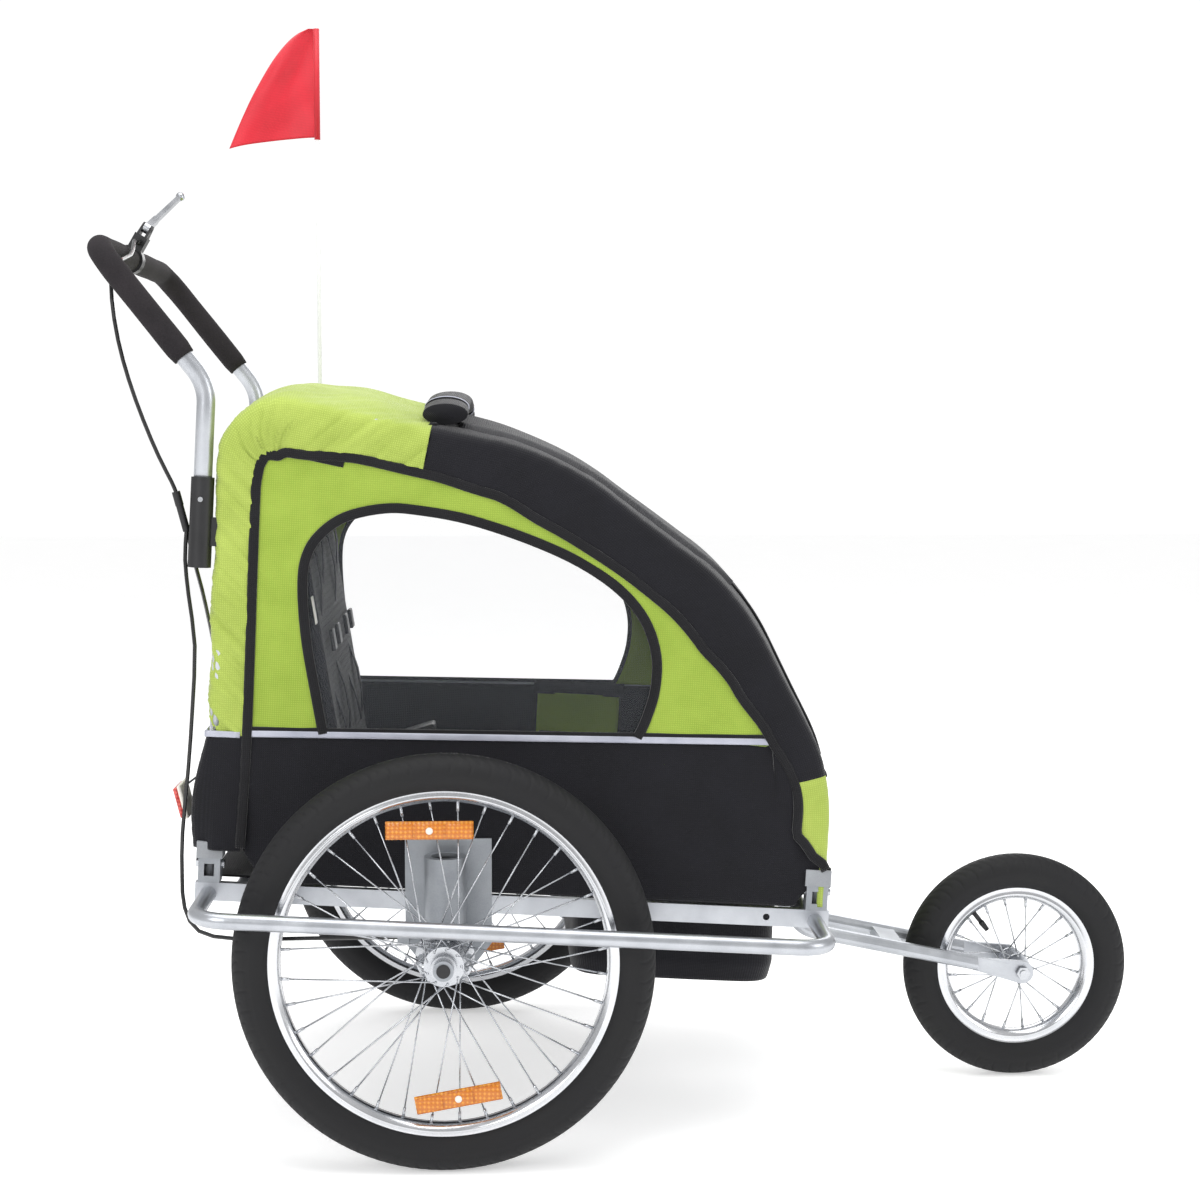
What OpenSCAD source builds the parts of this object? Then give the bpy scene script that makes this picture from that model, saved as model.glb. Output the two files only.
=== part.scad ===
// Child bicycle trailer with a push handle and a front jogging wheel.
// +X forward, +Y left, +Z up, millimetres, origin on the ground below the middle of the trailer.
// Chassis points are written as [u, w]: u forward and w up from the rear axle, pitched with the chassis.

/* [Overall] */
// Distance between the mid-planes of the two rear wheels
track = 700; // [660:5:840]
// Distance from the rear axle to the front axle
wheelbase = 755; // [720:5:860]
// Nose-down pitch of the chassis, in degrees
pitch = 3.2; // [2.5:0.1:4]

/* [Rear wheels] */
// Outside diameter of a rear tyre
rear_tyre_d = 495; // [460:1:560]
// Width of every tyre
tyre_w = 47; // [40:1:54]
// Wall of every tyre
tyre_wall = 4; // [3:0.5:5]
// Diameter of a rear rim over its flanges
rear_rim_d = 419; // [400:1:450]
// Width of every rim
rim_w = 26; // [24:1:30]
// Depth of every rim
rim_depth = 19; // [14:1:22]
// Spokes in a rear wheel
rear_spokes = 36; // [20:4:36]
// Diameter of every spoke
spoke_d = 2; // [1.8:0.1:2.4]
// Diameter of a rear hub flange
hub_flange_d = 47; // [44:1:56]
// Distance from a rear wheel's mid-plane to each hub flange
hub_half_gap = 20; // [18:1:22]
// Diameter of a rear hub between its flanges
hub_barrel_d = 30; // [26:1:34]
// Diameter of a rear stub axle
axle_d = 12; // [10:0.5:14]
// Reach of a rear hub outside its wheel's mid-plane
hub_reach = 38; // [36:1:39]

/* [Front wheel] */
// Outside diameter of the front tyre
front_tyre_d = 300; // [290:1:330]
// Diameter of the front rim over its flanges
front_rim_d = 216; // [210:1:226]
// Spokes in the front wheel
front_spokes = 20; // [12:4:28]
// Diameter of a front hub flange
front_flange_d = 34; // [32:1:40]
// Distance from the front wheel's mid-plane to each hub flange
front_half_gap = 18; // [17:1:20]
// Diameter of the front axle
front_axle_d = 10; // [8:0.5:12]

/* [Frame] */
// Width of a side rail
rail_w = 12; // [10:1:14]
// Height of a side rail
rail_h = 22; // [18:1:26]
// Wall of every frame tube
tube_wall = 1.5; // [1.2:0.1:2]
// Distance from the centre plane to a side rail's middle
rail_y = 262; // [255:1:266]
// Height of the rails' middle above the rear axle
rail_up = 53; // [48:1:58]
// Distance from the rear axle back to the rear hinge brackets
bolt_rear = 288; // [270:1:300]
// Distance from the rear axle forward to the front hinge brackets
bolt_front = 445; // [430:1:460]
// Length of rail past each hinge bracket's middle
rail_past = 16; // [14:1:20]
// Diameter of the cross tubes
cross_d = 20; // [16:1:21]
// Diameter of a guard bar
guard_d = 19; // [16:1:21]
// Distance from the centre plane to a guard bar
guard_y = 405; // [402:1:440]
// Bend radius of a guard bar
guard_bend = 38; // [30:1:60]
// Diameter of the hole for a tow arm's pin
hitch_d = 8.2; // [6:0.1:10]

/* [Hinge brackets] */
// Length of a hinge bracket along the rail
bracket_l = 26; // [25:1:30]
// Width of a hinge bracket across the rail
bracket_w = 24; // [23:1:26]
// Height of a hinge bracket above the rail
bracket_h = 38; // [34:1:44]
// Sheet thickness of a hinge bracket
bracket_t = 3; // [2:0.5:3.5]
// Diameter of the hinge bolts
bolt_d = 6; // [5:0.5:8]
// Height of a lock collar
collar_h = 20; // [18:1:24]
// Depth of bracket that a lock collar covers
collar_skirt = 8; // [6:1:9]
// Travel of a lock collar
collar_travel = 10; // [10:1:12]

/* [Cover hoops] */
// Diameter of the hoop tubes
hoop_d = 16; // [14:1:18]
// Distance from the centre plane to a hoop
hoop_y = 258; // [254:1:259]
// Height of the hoops' rear corner above the rear axle
hoop_top = 646; // [590:1:710]
// Place of the hoops' brow ahead of the rear axle
brow_u = 95; // [70:1:120]
// Height of the hoops' brow above the rear axle
brow_w = 590; // [550:1:612]
// Place of the hoops' nose ahead of the rear axle
nose_u = 322; // [300:1:340]
// Height of the hoops' nose above the rear axle
nose_w = 437; // [410:1:460]
// Height of the hoops' knee above the rear axle
knee_w = 227; // [200:1:250]

/* [Push handle] */
// Diameter of the handle tube
handle_d = 22; // [19:0.5:25]
// Outside diameter of the foam grip
foam_d = 30; // [28:1:36]
// Distance from the rear axle back to the handle's legs
leg_u = 316; // [314:1:330]
// Height of the handle's bend above the rear axle
elbow_w = 657; // [610:1:710]
// Distance from the rear axle back to the crossbar
grip_u = 454; // [420:1:500]
// Height of the crossbar above the rear axle
grip_w = 813; // [760:1:900]
// Outside diameter of a handle socket
socket_d = 27.5; // [27:0.5:31]
// Lower end of the handle sockets above the rear axle
socket_low = 441; // [410:1:452]
// Length of the handle sockets
socket_l = 107; // [90:1:120]

/* [Brake] */
// Place of the lever clamp, left of the centre plane
lever_y = -20; // [-120:5:120]
// Length of the lever from its pivot
lever_l = 111; // [90:1:130]
// Diameter of the brake pins
brake_pin_d = 6; // [5:0.5:7]
// Radius of the notch circle in the brake rings
notch_r = 28; // [26:1:30]
// Diameter of a brake cable
cable_d = 5; // [4:0.5:6]

/* [Suspension] */
// Outside diameter of a suspension cylinder
cylinder_d = 50; // [46:1:51]
// Wall of a suspension cylinder
cylinder_wall = 2.5; // [2:0.5:3]
// Travel of a rear wheel
bump = 20; // [10:1:22]
// Top of a suspension cylinder above the rear axle
cylinder_top = 115; // [108:1:122]
// Top of a slider above the rear axle
slider_top = 53; // [48:1:56]

/* [Fork] */
// Diameter of a fork arm
fork_d = 19; // [16:1:20]
// Distance from the centre plane to a fork arm
fork_y = 46; // [45:1:60]

/* [Soft parts] */
// Thickness of a fabric panel
fabric_t = 1.4; // [1:0.1:1.6]
// Depth of the footwell below the floor
footwell_deep = 118; // [80:1:130]
// Height of the seat above the floor
seat_up = 78; // [50:1:100]
// Diameter of the flag pole
pole_d = 6; // [5:0.5:8]
// Height of the flag pole's tip above the ground
pole_tip = 1432; // [1300:1:1600]
// Width of the flag
flag_w = 134; // [100:1:160]
// Height of the flag
flag_h = 153; // [120:1:180]

/* [Hidden] */
$fn = 48;
run_fit = 0.05;      // radial clearance of a running fit
gap = 0.3;           // clearance between soft parts and their neighbours
rear_r = rear_tyre_d / 2;
front_r = front_tyre_d / 2;
hoop_foot = rail_up + rail_h / 2 + bracket_t + 2; // lower end of the hoops
hoop_pts = [[-bolt_rear, hoop_foot], [-bolt_rear, hoop_top], [brow_u, brow_w],
            [nose_u, nose_w], [bolt_front, knee_w], [bolt_front, hoop_foot]];
hoop_bends = [0, 70, 350, 280, 220, 0];
handle_bends = [0, 60, 45, 45, 60, 0];
handle_sides = 16;   // facets round the handle tube and its foam
rail_top = rail_up + rail_h / 2;
rail_out = rail_y + rail_w / 2;
bracket_top = rail_top + bracket_h;
bolt_up = rail_top + bracket_h * 0.58;
collar_low = bracket_top - collar_skirt;
panel_y = hoop_y + hoop_d / 2 + gap;
panel_low = collar_low + collar_h + collar_travel + 2;
cover_out = hoop_d / 2 + gap;
split_u = -77;       // where the rear canopy meets the front cover
brow_slope = (brow_w - hoop_top) / (brow_u + bolt_rear);
split_w = hoop_top + brow_slope * (split_u + bolt_rear);
strip_w = 243;       // height of the reflective strip
front_split_w = 162; // where the front cover meets the front panel
foam_start = 0.2;    // share of the handle's upper run left bare
axle_len = track / 2 + hub_reach;
plate_t = 3;         // plate that holds a suspension cylinder on its rail
cyl_y = rail_out + cylinder_d / 2 + plate_t - cylinder_wall + 0.4;
slider_d = cylinder_d - 2 * cylinder_wall - 2 * run_fit;
ring_y = track / 2 - hub_half_gap - 9.5;
ring_t = 4;
cap_t = 4;
pole_x = -192;
pole_y = panel_y + fabric_t + gap + pole_d / 2 + 1.2;
footwell_u = [148, 418];
row_tilt = [cos(pitch), sin(pitch)];
grip_x = -grip_u * row_tilt[0] + grip_w * row_tilt[1];
grip_z = rear_r + grip_u * row_tilt[1] + grip_w * row_tilt[0];
mid_x = (wheelbase + front_r + grip_x - foam_d / 2) / 2;
lever_out = 46;      // pivot's distance from the crossbar's middle
lever_lean = 30;     // lean of the lever's plane forward of vertical
lever_rise = 31.4;   // angle between the released lever and the crossbar
ferrule_l = 14;      // ferrule that the brake cable leaves the lever clamp by
ferrule_out = 26;    // ferrule's distance from the crossbar's middle

// Brake cable routes: x ahead of the rear axle, y left, z above the ground.
main_route = [[-395, -44, 1107], [-394, -64, 1105], [-390, -95, 1094], [-388, -130, 1082],
              [-390, -180, 1073], [-393, -225, 1058], [-390, -247, 1021], [-383, -251, 974],
              [-371, -252, 927], [-355, -252, 880], [-338, -252, 838], [-323, -252, 807],
              [-318, -252, 795]];
right_route = [[-306, -254, 748], [-308, -254, 714], [-304, -258, 672], [-297, -262, 612],
               [-301, -262, 536], [-307, -262, 464], [-315, -262, 387], [-316, -264, 336],
               [-312, -274, 298], [-294, -284, 272], [-250, -287, 263], [-160, -284, 262],
               [-58, -283, 262]];
left_route = [[-306, -247, 748], [-301, -236, 716], [-297, -195, 674], [-297, -140, 632],
              [-300, -60, 581], [-304, 30, 524], [-308, 120, 457], [-312, 200, 391],
              [-316, 250, 345], [-315, 272, 303], [-298, 284, 273], [-250, 287, 263],
              [-160, 284, 262], [-58, 283, 262]];

// ---- placing ----

module at_row() { translate([-mid_x, 0, 0]) children(); }

module chassis() { at_row() translate([0, 0, rear_r]) rotate([0, pitch, 0]) children(); }

module both_sides() {
    children();
    mirror([0, 1, 0]) children();
}

// side -1 is right, 1 is left; children are drawn for the left
module on_side(side) { mirror([0, side < 0 ? 1 : 0, 0]) children(); }

module rod(a, b, d) {
    run = b - a;
    length = norm(run);
    translate(a) rotate([0, acos(run[2] / length), atan2(run[1], run[0])])
        cylinder(d = d, h = length);
}

// ---- bent tubes: children give the 2D section, x pointing out of the bends ----

function unit(v) = v / norm(v);
function turn_angle(p, i) = acos(unit(p[i] - p[i - 1]) * unit(p[i + 1] - p[i]));
function tangent(p, r, i) = (i == 0 || i == len(p) - 1) ? 0 : r[i] * tan(turn_angle(p, i) / 2);

module frame_at(origin, x, y, z) {
    multmatrix([[x[0], y[0], z[0], origin[0]], [x[1], y[1], z[1], origin[1]],
                [x[2], y[2], z[2], origin[2]], [0, 0, 0, 1]]) children();
}

// planar path of 3D points turning about the unit vector spin
module bent(p, r, spin) {
    for (i = [0:len(p) - 2]) {
        d = unit(p[i + 1] - p[i]);
        a = p[i] + d * tangent(p, r, i);
        length = norm(p[i + 1] - p[i]) - tangent(p, r, i) - tangent(p, r, i + 1);
        frame_at(a, cross(d, spin), -spin, d) linear_extrude(length) children();
    }
    for (i = [1:len(p) - 2]) {
        d = unit(p[i] - p[i - 1]);
        inward = cross(spin, d);
        centre = p[i] - d * tangent(p, r, i) + inward * r[i];
        frame_at(centre, -inward, d, spin) rotate_extrude(angle = turn_angle(p, i))
            translate([r[i], 0]) children();
    }
}

function on_hoop(p, y) = [for (q = p) [q[0], y, q[1]]];

// ---- swept tubes: rings of points along a path ----

// points of a path with its corners rounded: n steps to each bend
function arc_points(p, r, i, n) =
    let (d = unit(p[i] - p[i - 1]), e = unit(p[i + 1] - p[i]), turn = turn_angle(p, i),
         inward = unit(e - d * (d * e)), start = p[i] - d * tangent(p, r, i))
    [for (k = [0:n]) start + r[i] * (d * sin(turn * k / n) + inward * (1 - cos(turn * k / n)))];
function rounded(p, r, n) = concat([p[0]],
    [for (i = [1:len(p) - 2], q = arc_points(p, r, i, n)) q], [p[len(p) - 1]]);

function spline(a, b, c, d, t) = 0.5 * (2 * b + (c - a) * t + (2 * a - 5 * b + 4 * c - d) * t * t
    + (3 * b - a - 3 * c + d) * t * t * t);
function at_clamped(p, i) = p[max(0, min(len(p) - 1, i))];
function smooth(p, steps) = concat([for (i = [0:len(p) - 2], s = [0:steps - 1])
    spline(at_clamped(p, i - 1), p[i], p[i + 1], at_clamped(p, i + 2), s / steps)], [p[len(p) - 1]]);
function headings(p) = [for (i = [0:len(p) - 1])
    unit(unit(at_clamped(p, i + 1) - p[i] + (i == len(p) - 1 ? p[i] - p[i - 1] : 0 * p[i]))
         + unit(p[i] - at_clamped(p, i - 1) + (i == 0 ? p[1] - p[0] : 0 * p[i])))];
function square_to(v, d) = unit(v - d * (v * d));
function sides_of(h) = [for (i = 0, s = square_to([0.3, 0.9, 0.2], h[0]); i < len(h);
    i = i + 1, s = i < len(h) ? square_to(s, h[i]) : s) s];
function ring_points(p, h, s, d, sides) = [for (i = [0:len(p) - 1], k = [0:sides - 1])
    p[i] + d / 2 * (s[i] * cos(360 * k / sides) + cross(h[i], s[i]) * sin(360 * k / sides))];
function wall_faces(count, sides, first) = [for (i = [0:count - 2], k = [0:sides - 1])
    [first + i * sides + k, first + (i + 1) * sides + k,
     first + (i + 1) * sides + (k + 1) % sides, first + i * sides + (k + 1) % sides]];
function reversed(v) = [for (i = [len(v) - 1:-1:0]) v[i]];

// solid tube through the points p
module swept_rod(p, d, sides) {
    h = headings(p);
    first = [for (k = [0:sides - 1]) k];
    last = [for (k = [0:sides - 1]) (len(p) - 1) * sides + k];
    polyhedron(ring_points(p, h, sides_of(h), d, sides),
               concat(wall_faces(len(p), sides, 0), [first, reversed(last)]));
}

// hollow tube through the points p, open at both ends
module swept_tube(p, d, inner_d, sides) {
    h = headings(p);
    s = sides_of(h);
    inner = len(p) * sides;
    end = (len(p) - 1) * sides;
    mouth = [for (k = [0:sides - 1]) [k, (k + 1) % sides, inner + (k + 1) % sides, inner + k]];
    tail = [for (k = [0:sides - 1])
        [end + (k + 1) % sides, end + k, inner + end + k, inner + end + (k + 1) % sides]];
    polyhedron(concat(ring_points(p, h, s, d, sides), ring_points(p, h, s, inner_d, sides)),
               concat(wall_faces(len(p), sides, 0), mouth, tail,
                      [for (f = wall_faces(len(p), sides, inner)) reversed(f)]));
}

module cord(route, d) { at_row() swept_rod(smooth(route, 2), d, 8); }

// ---- frame ----

module side_rails() {
    color("silver") chassis() {
        both_sides() difference() {
            translate([-bolt_rear - rail_past, rail_y - rail_w / 2, rail_up - rail_h / 2])
                cube([bolt_rear + bolt_front + 2 * rail_past, rail_w, rail_h]);
            translate([-bolt_rear - rail_past - 1, rail_y - rail_w / 2 + tube_wall,
                       rail_up - rail_h / 2 + tube_wall])
                cube([bolt_rear + bolt_front + 2 * rail_past + 2, rail_w - 2 * tube_wall,
                      rail_h - 2 * tube_wall]);
            translate([bolt_front - 60, rail_y, rail_up]) rotate([90, 0, 0])
                cylinder(d = hitch_d, h = rail_w + 2, center = true);
        }
    }
}

module cross_tubes() {
    inside = 2 * (rail_y - rail_w / 2);
    color("silver") chassis() for (u = [-bolt_rear + 38, footwell_u[0] - 14, footwell_u[1] + 16])
        translate([u, 0, rail_up]) rotate([90, 0, 0]) difference() {
            cylinder(d = cross_d, h = inside, center = true);
            cylinder(d = cross_d - 2 * tube_wall, h = inside + 2, center = true);
        }
}

module bracket() {
    window = [bracket_l - 14, bracket_t + 2, 15];
    translate([-bracket_l / 2, -bracket_w / 2, rail_top]) difference() {
        cube([bracket_l, bracket_w, bracket_h]);
        translate([bracket_t, -1, bracket_t])
            cube([bracket_l - 2 * bracket_t, bracket_w - bracket_t + 1, bracket_h]);
        translate([(bracket_l - window[0]) / 2, bracket_w - bracket_t - 1, 8]) cube(window);
        translate([-1, bracket_w / 2, bolt_up - rail_top]) rotate([0, 90, 0])
            cylinder(d = bolt_d + 2 * run_fit, h = bracket_l + 2);
    }
}

module corner_brackets() {
    color("dimgray") chassis() both_sides() for (u = [-bolt_rear, bolt_front])
        translate([u, hoop_y, 0]) bracket();
}

module hinge_bolts() {
    head = 4;
    color("white") chassis() both_sides() for (u = [-bolt_rear, bolt_front])
        translate([u - bracket_l / 2 - head, hoop_y, bolt_up]) rotate([0, 90, 0]) {
            cylinder(d = bolt_d, h = bracket_l + 2 * head);
            cylinder(d = bolt_d + 5, h = head, $fn = 6);
            translate([0, 0, bracket_l + head]) cylinder(d = bolt_d + 5, h = head);
        }
}

module lock_collar(u, side) {
    wall = 2.2;
    slack = 0.3;
    size = [bracket_l + 2 * slack + 2 * wall, bracket_w + 2 * slack + 2 * wall, collar_h];
    color("gray") chassis() on_side(side) translate([u, hoop_y, collar_low]) difference() {
        translate([-size[0] / 2, -size[1] / 2, 0]) cube(size);
        translate([-size[0] / 2 + wall, -size[1] / 2 + wall, -1])
            cube([size[0] - 2 * wall, size[1] - 2 * wall, collar_skirt + slack + 1]);
        translate([0, 0, -1]) cylinder(d = hoop_d + 1, h = collar_h + 2);
    }
}

module lock_collar_rear_right() { lock_collar(-bolt_rear, -1); }
module lock_collar_rear_left() { lock_collar(-bolt_rear, 1); }
module lock_collar_front_right() { lock_collar(bolt_front, -1); }
module lock_collar_front_left() { lock_collar(bolt_front, 1); }

module guard_bars() {
    path = [[-bolt_rear, rail_out, rail_up - 3], [-bolt_rear, guard_y, rail_up - 3],
            [bolt_front, guard_y, rail_up - 3], [bolt_front, rail_out, rail_up - 3]];
    color("silver") chassis() both_sides() difference() {
        bent(path, [0, guard_bend, guard_bend, 0], [0, 0, -1]) circle(d = guard_d);
        bent(path, [0, guard_bend, guard_bend, 0], [0, 0, -1])
            circle(d = guard_d - 2 * tube_wall);
    }
}

module cover_hoops() {
    color("silver") chassis() both_sides() difference() {
        swept_tube(rounded(on_hoop(hoop_pts, hoop_y), hoop_bends, 6), hoop_d,
                   hoop_d - 2 * tube_wall, 12);
        for (u = [-bolt_rear, bolt_front]) translate([u, hoop_y, bolt_up]) rotate([0, 90, 0])
            cylinder(d = bolt_d + 2 * run_fit, h = 2 * hoop_d, center = true);
    }
}

module spreader_bars() {
    bar_d = 14;
    middle_u = (brow_u + nose_u) / 2;
    middle_w = (brow_w + nose_w) / 2;
    half = hoop_y - hoop_d / 2;
    color("silver") chassis() for (p = [[-bolt_rear, hoop_top - 110], [split_u, split_w],
                                        [middle_u, middle_w]])
        rod([p[0], -half, p[1]], [p[0], half, p[1]], bar_d);
}

// ---- push handle ----

module handle_sockets() {
    lug = [leg_u - bolt_rear - hoop_d / 2, 10, 34];
    color("black") chassis() both_sides() difference() {
        union() {
            translate([-leg_u, hoop_y, socket_low]) cylinder(d = socket_d, h = socket_l);
            translate([-leg_u, hoop_y - lug[1] / 2, socket_low + 26])
                cube([lug[0] + 2, lug[1], lug[2]]);
        }
        translate([-leg_u, hoop_y, socket_low + 8])
            cylinder(d = handle_d + 2 * run_fit, h = socket_l);
        translate([-bolt_rear, hoop_y, socket_low]) cylinder(d = hoop_d, h = socket_l);
        translate([-leg_u, hoop_y, socket_low + socket_l - 26]) rotate([-90, 0, 0])
            cylinder(d = 6 + 2 * run_fit, h = socket_d);
    }
}

// snap button through the outside wall of a handle socket, pressed in to free the handle
module snap_button(side) {
    color("white") chassis() on_side(side)
        translate([-leg_u, hoop_y + handle_d / 2 - 6, socket_low + socket_l - 26])
        rotate([-90, 0, 0]) cylinder(d = 6, h = 6 + (socket_d - handle_d) / 2 + 1.5);
}

module snap_button_right() { snap_button(-1); }
module snap_button_left() { snap_button(1); }

function handle_path(low) = [[-leg_u, -hoop_y, low], [-leg_u, -hoop_y, elbow_w],
    [-grip_u, -hoop_y, grip_w], [-grip_u, hoop_y, grip_w], [-leg_u, hoop_y, elbow_w],
    [-leg_u, hoop_y, low]];

module handle_tube() {
    path = rounded(handle_path(socket_low + 9), handle_bends, 7);
    color("silver") chassis() difference() {
        swept_tube(path, handle_d, handle_d - 2 * tube_wall, handle_sides);
        both_sides() translate([-leg_u, hoop_y + handle_d / 2, socket_low + socket_l - 26])
            rotate([90, 0, 0])
            cylinder(d = 6 + 2 * run_fit, h = 2 * tube_wall + 2, center = true);
    }
}

module handle_foam() {
    p = handle_path(socket_low);
    start = p[1] + (p[2] - p[1]) * foam_start;
    path = [start, p[2], p[3], [start[0], -start[1], start[2]]];
    bends = [0, handle_bends[2], handle_bends[3], 0];
    color([0.13, 0.12, 0.13]) chassis()
        swept_tube(rounded(path, bends, 7), foam_d,
                   (handle_d + 2 * run_fit) / cos(180 / handle_sides), handle_sides);
}

// ---- brake ----

// x along the crossbar to the left, y away from the crossbar, z across the lever
module lever_frame() {
    out = [sin(lever_lean), 0, cos(lever_lean)];
    at_row() frame_at([grip_x, lever_y, grip_z] + out * lever_out, [0, 1, 0], out,
                      cross([0, 1, 0], out)) children();
}

module lever_clamp() {
    ring_w = 20;
    ring_d = foam_d + 7;
    arm_t = 3;
    cheek = 4 + run_fit;
    color([0.1, 0.1, 0.1]) lever_frame() {
        difference() {
            union() {
                translate([0, -lever_out, 0]) rotate([0, 90, 0])
                    cylinder(d = ring_d, h = ring_w, center = true);
                translate([-ring_w / 2, -lever_out, -9]) cube([ring_w, lever_out - 11, 18]);
            }
            translate([0, -lever_out, 0]) rotate([0, 90, 0])
                cylinder(d = foam_d, h = ring_w + 2, center = true);
        }
        for (s = [0, 1]) mirror([0, 0, s]) translate([0, 0, cheek]) linear_extrude(arm_t) hull() {
            circle(d = 12);
            translate([-ring_w / 2, -12]) square([ring_w, 2]);
        }
        cylinder(d = 5, h = 2 * (cheek + arm_t) + 1, center = true);
        translate([-ring_w / 2 - ferrule_l, ferrule_out - lever_out, 0]) rotate([0, 90, 0])
            cylinder(d = cable_d + 3, h = ferrule_l + 2);
    }
}

module brake_lever() {
    blade = 7.9;
    tip = [lever_l * cos(lever_rise), lever_l * sin(lever_rise)];
    color("silver") lever_frame() difference() {
        union() {
            cylinder(d = 14, h = blade, center = true);
            linear_extrude(blade, center = true) hull() {
                circle(d = 12);
                translate(tip * 0.25) circle(d = 10);
            }
            linear_extrude(blade - 2, center = true) hull() {
                translate(tip * 0.25) circle(d = 10);
                translate(tip) circle(d = 7);
            }
            translate([tip[0], tip[1], 0]) sphere(d = 12);
        }
        cylinder(d = 5 + 2 * run_fit, h = blade + 2, center = true);
    }
}

module brake_cable_main() { color("black") cord(main_route, cable_d); }
module brake_cable_right() { color("black") cord(right_route, cable_d); }
module brake_cable_left() { color("black") cord(left_route, cable_d); }

// joins the lever's cable to the two wheel cables
module cable_splitter() {
    top = main_route[len(main_route) - 1];
    low = (right_route[0] + left_route[0]) / 2;
    color([0.1, 0.1, 0.1]) at_row() {
        rod(top + (low - top) * 0.35, low, 9);
        rod(top, top + (low - top) * 0.35, 10);
    }
}

// ---- suspension ----

module suspension_cylinders() {
    plate = [104, plate_t, 165];
    corner = [30, 38];
    slot_w = axle_d + 15;
    slot_top = bump + slot_w / 2 + 1;
    low = -34;
    lip = 4;
    stop = 14;
    half = plate[0] / 2;
    color("silver") at_row() both_sides() translate([0, 0, rear_r]) difference() {
        union() {
            translate([3, rail_out + plate_t, low]) rotate([90, 0, 0]) linear_extrude(plate_t)
                polygon([[corner[0] - half, 0], [half - corner[0], 0], [half, corner[1]],
                         [half, plate[2]], [-half, plate[2]], [-half, corner[1]]]);
            translate([0, cyl_y, low + 10]) cylinder(d = cylinder_d, h = cylinder_top - low - 10);
            translate([-58, rail_out, 14.5 - stop / 2]) cube([stop, stop + 6, stop]);
        }
        translate([0, cyl_y, low - 1])
            cylinder(d = cylinder_d - 2 * cylinder_wall, h = cylinder_top - low + 1 - lip);
        translate([0, cyl_y, 0]) cylinder(d = cylinder_d - 2 * cylinder_wall - 11, h = 2 * cylinder_top);
        translate([-slot_w / 2, cyl_y, low - 1])
            cube([slot_w, cylinder_d, slot_top - low + 1]);
    }
}

// sliding carrier with its stub axle
module slider(side) {
    low = -36;
    shoulder_d = axle_d + 12;
    color("gray") at_row() on_side(side) translate([0, cyl_y, rear_r]) difference() {
        union() {
            translate([0, 0, low]) cylinder(d = slider_d, h = slider_top - low);
            rotate([-90, 0, 0]) {
                cylinder(d = axle_d, h = axle_len - cyl_y + gap);
                cylinder(d = shoulder_d, h = ring_y - cyl_y - gap);
            }
            translate([0, axle_len - cyl_y + gap, 0]) rotate([-90, 0, 0]) difference() {
                cylinder(d = axle_d + 12, h = cap_t);
                translate([0, 0, 0.4]) cylinder(d = axle_d + 4 + 2 * run_fit, h = cap_t);
            }
        }
        translate([0, 0, -notch_r]) rotate([-90, 0, 0])
            cylinder(d = brake_pin_d + 2 * run_fit, h = slider_d);
        translate([0, 0, slider_top - 12]) cylinder(d = slider_d - 10, h = 13);
    }
}

module slider_right() { slider(-1); }
module slider_left() { slider(1); }

// rubber spring with three bellows, between the slider and the top of its cylinder
module rubber_spring(side) {
    low = slider_top - 12;
    height = cylinder_top - 4 - low;
    rib = height / 3;
    core = slider_d / 2 - 12;
    full = slider_d / 2 - 5.5;
    color([0.06, 0.06, 0.06]) at_row() on_side(side) translate([0, cyl_y, rear_r + low])
        rotate_extrude() polygon(concat([[0, 0]], [for (i = [0:2], p = [[core, 0], [full, 0.3],
            [full, 0.7]]) [p[0], (i + p[1]) * rib]], [[core, height], [0, height]]));
}

module rubber_spring_right() { rubber_spring(-1); }
module rubber_spring_left() { rubber_spring(1); }

module brake_pin(side) {
    tip = ring_y - gap - 2;
    color("silver") at_row() on_side(side) translate([0, tip, rear_r - notch_r])
        rotate([90, 0, 0]) cylinder(d = brake_pin_d, h = tip - cyl_y - 1);
}

module brake_pin_right() { brake_pin(-1); }
module brake_pin_left() { brake_pin(1); }

module axle_button(side) {
    color([0.1, 0.1, 0.1]) at_row() on_side(side) translate([0, axle_len + gap + 2.6, rear_r])
        rotate([-90, 0, 0]) cylinder(d = axle_d + 4, h = cap_t - 1);
}

module axle_button_right() { axle_button(-1); }
module axle_button_left() { axle_button(1); }

// ---- wheels: drawn about the origin, turning about Y ----

module about_y() { rotate([-90, 0, 0]) children(); }

module tyre(d, seat_d) {
    mid_r = d / 2 - tyre_w / 2;
    lip = rim_w / 2 - 4;
    color([0.09, 0.09, 0.1]) about_y() rotate_extrude($fn = 96) difference() {
        translate([mid_r, 0]) circle(d = tyre_w);
        translate([mid_r, 0]) circle(d = tyre_w - 2 * tyre_wall);
        translate([0, -lip]) square([mid_r, 2 * lip]);
        translate([0, -tyre_w]) square([seat_d / 2, 2 * tyre_w]);
    }
}

module rim(d) {
    outer = d / 2;
    inner = outer - rim_depth;
    half = rim_w / 2;
    wall = 2;
    color("lightgray") about_y() rotate_extrude($fn = 96)
        polygon([[inner, -4], [inner + 5, -half], [outer, -half], [outer, -half + wall],
                 [inner + 6, -half + wall], [inner + wall, -3], [inner + wall, 3],
                 [inner + 6, half - wall], [outer, half - wall], [outer, half],
                 [inner + 5, half], [inner, 4]]);
}

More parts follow.
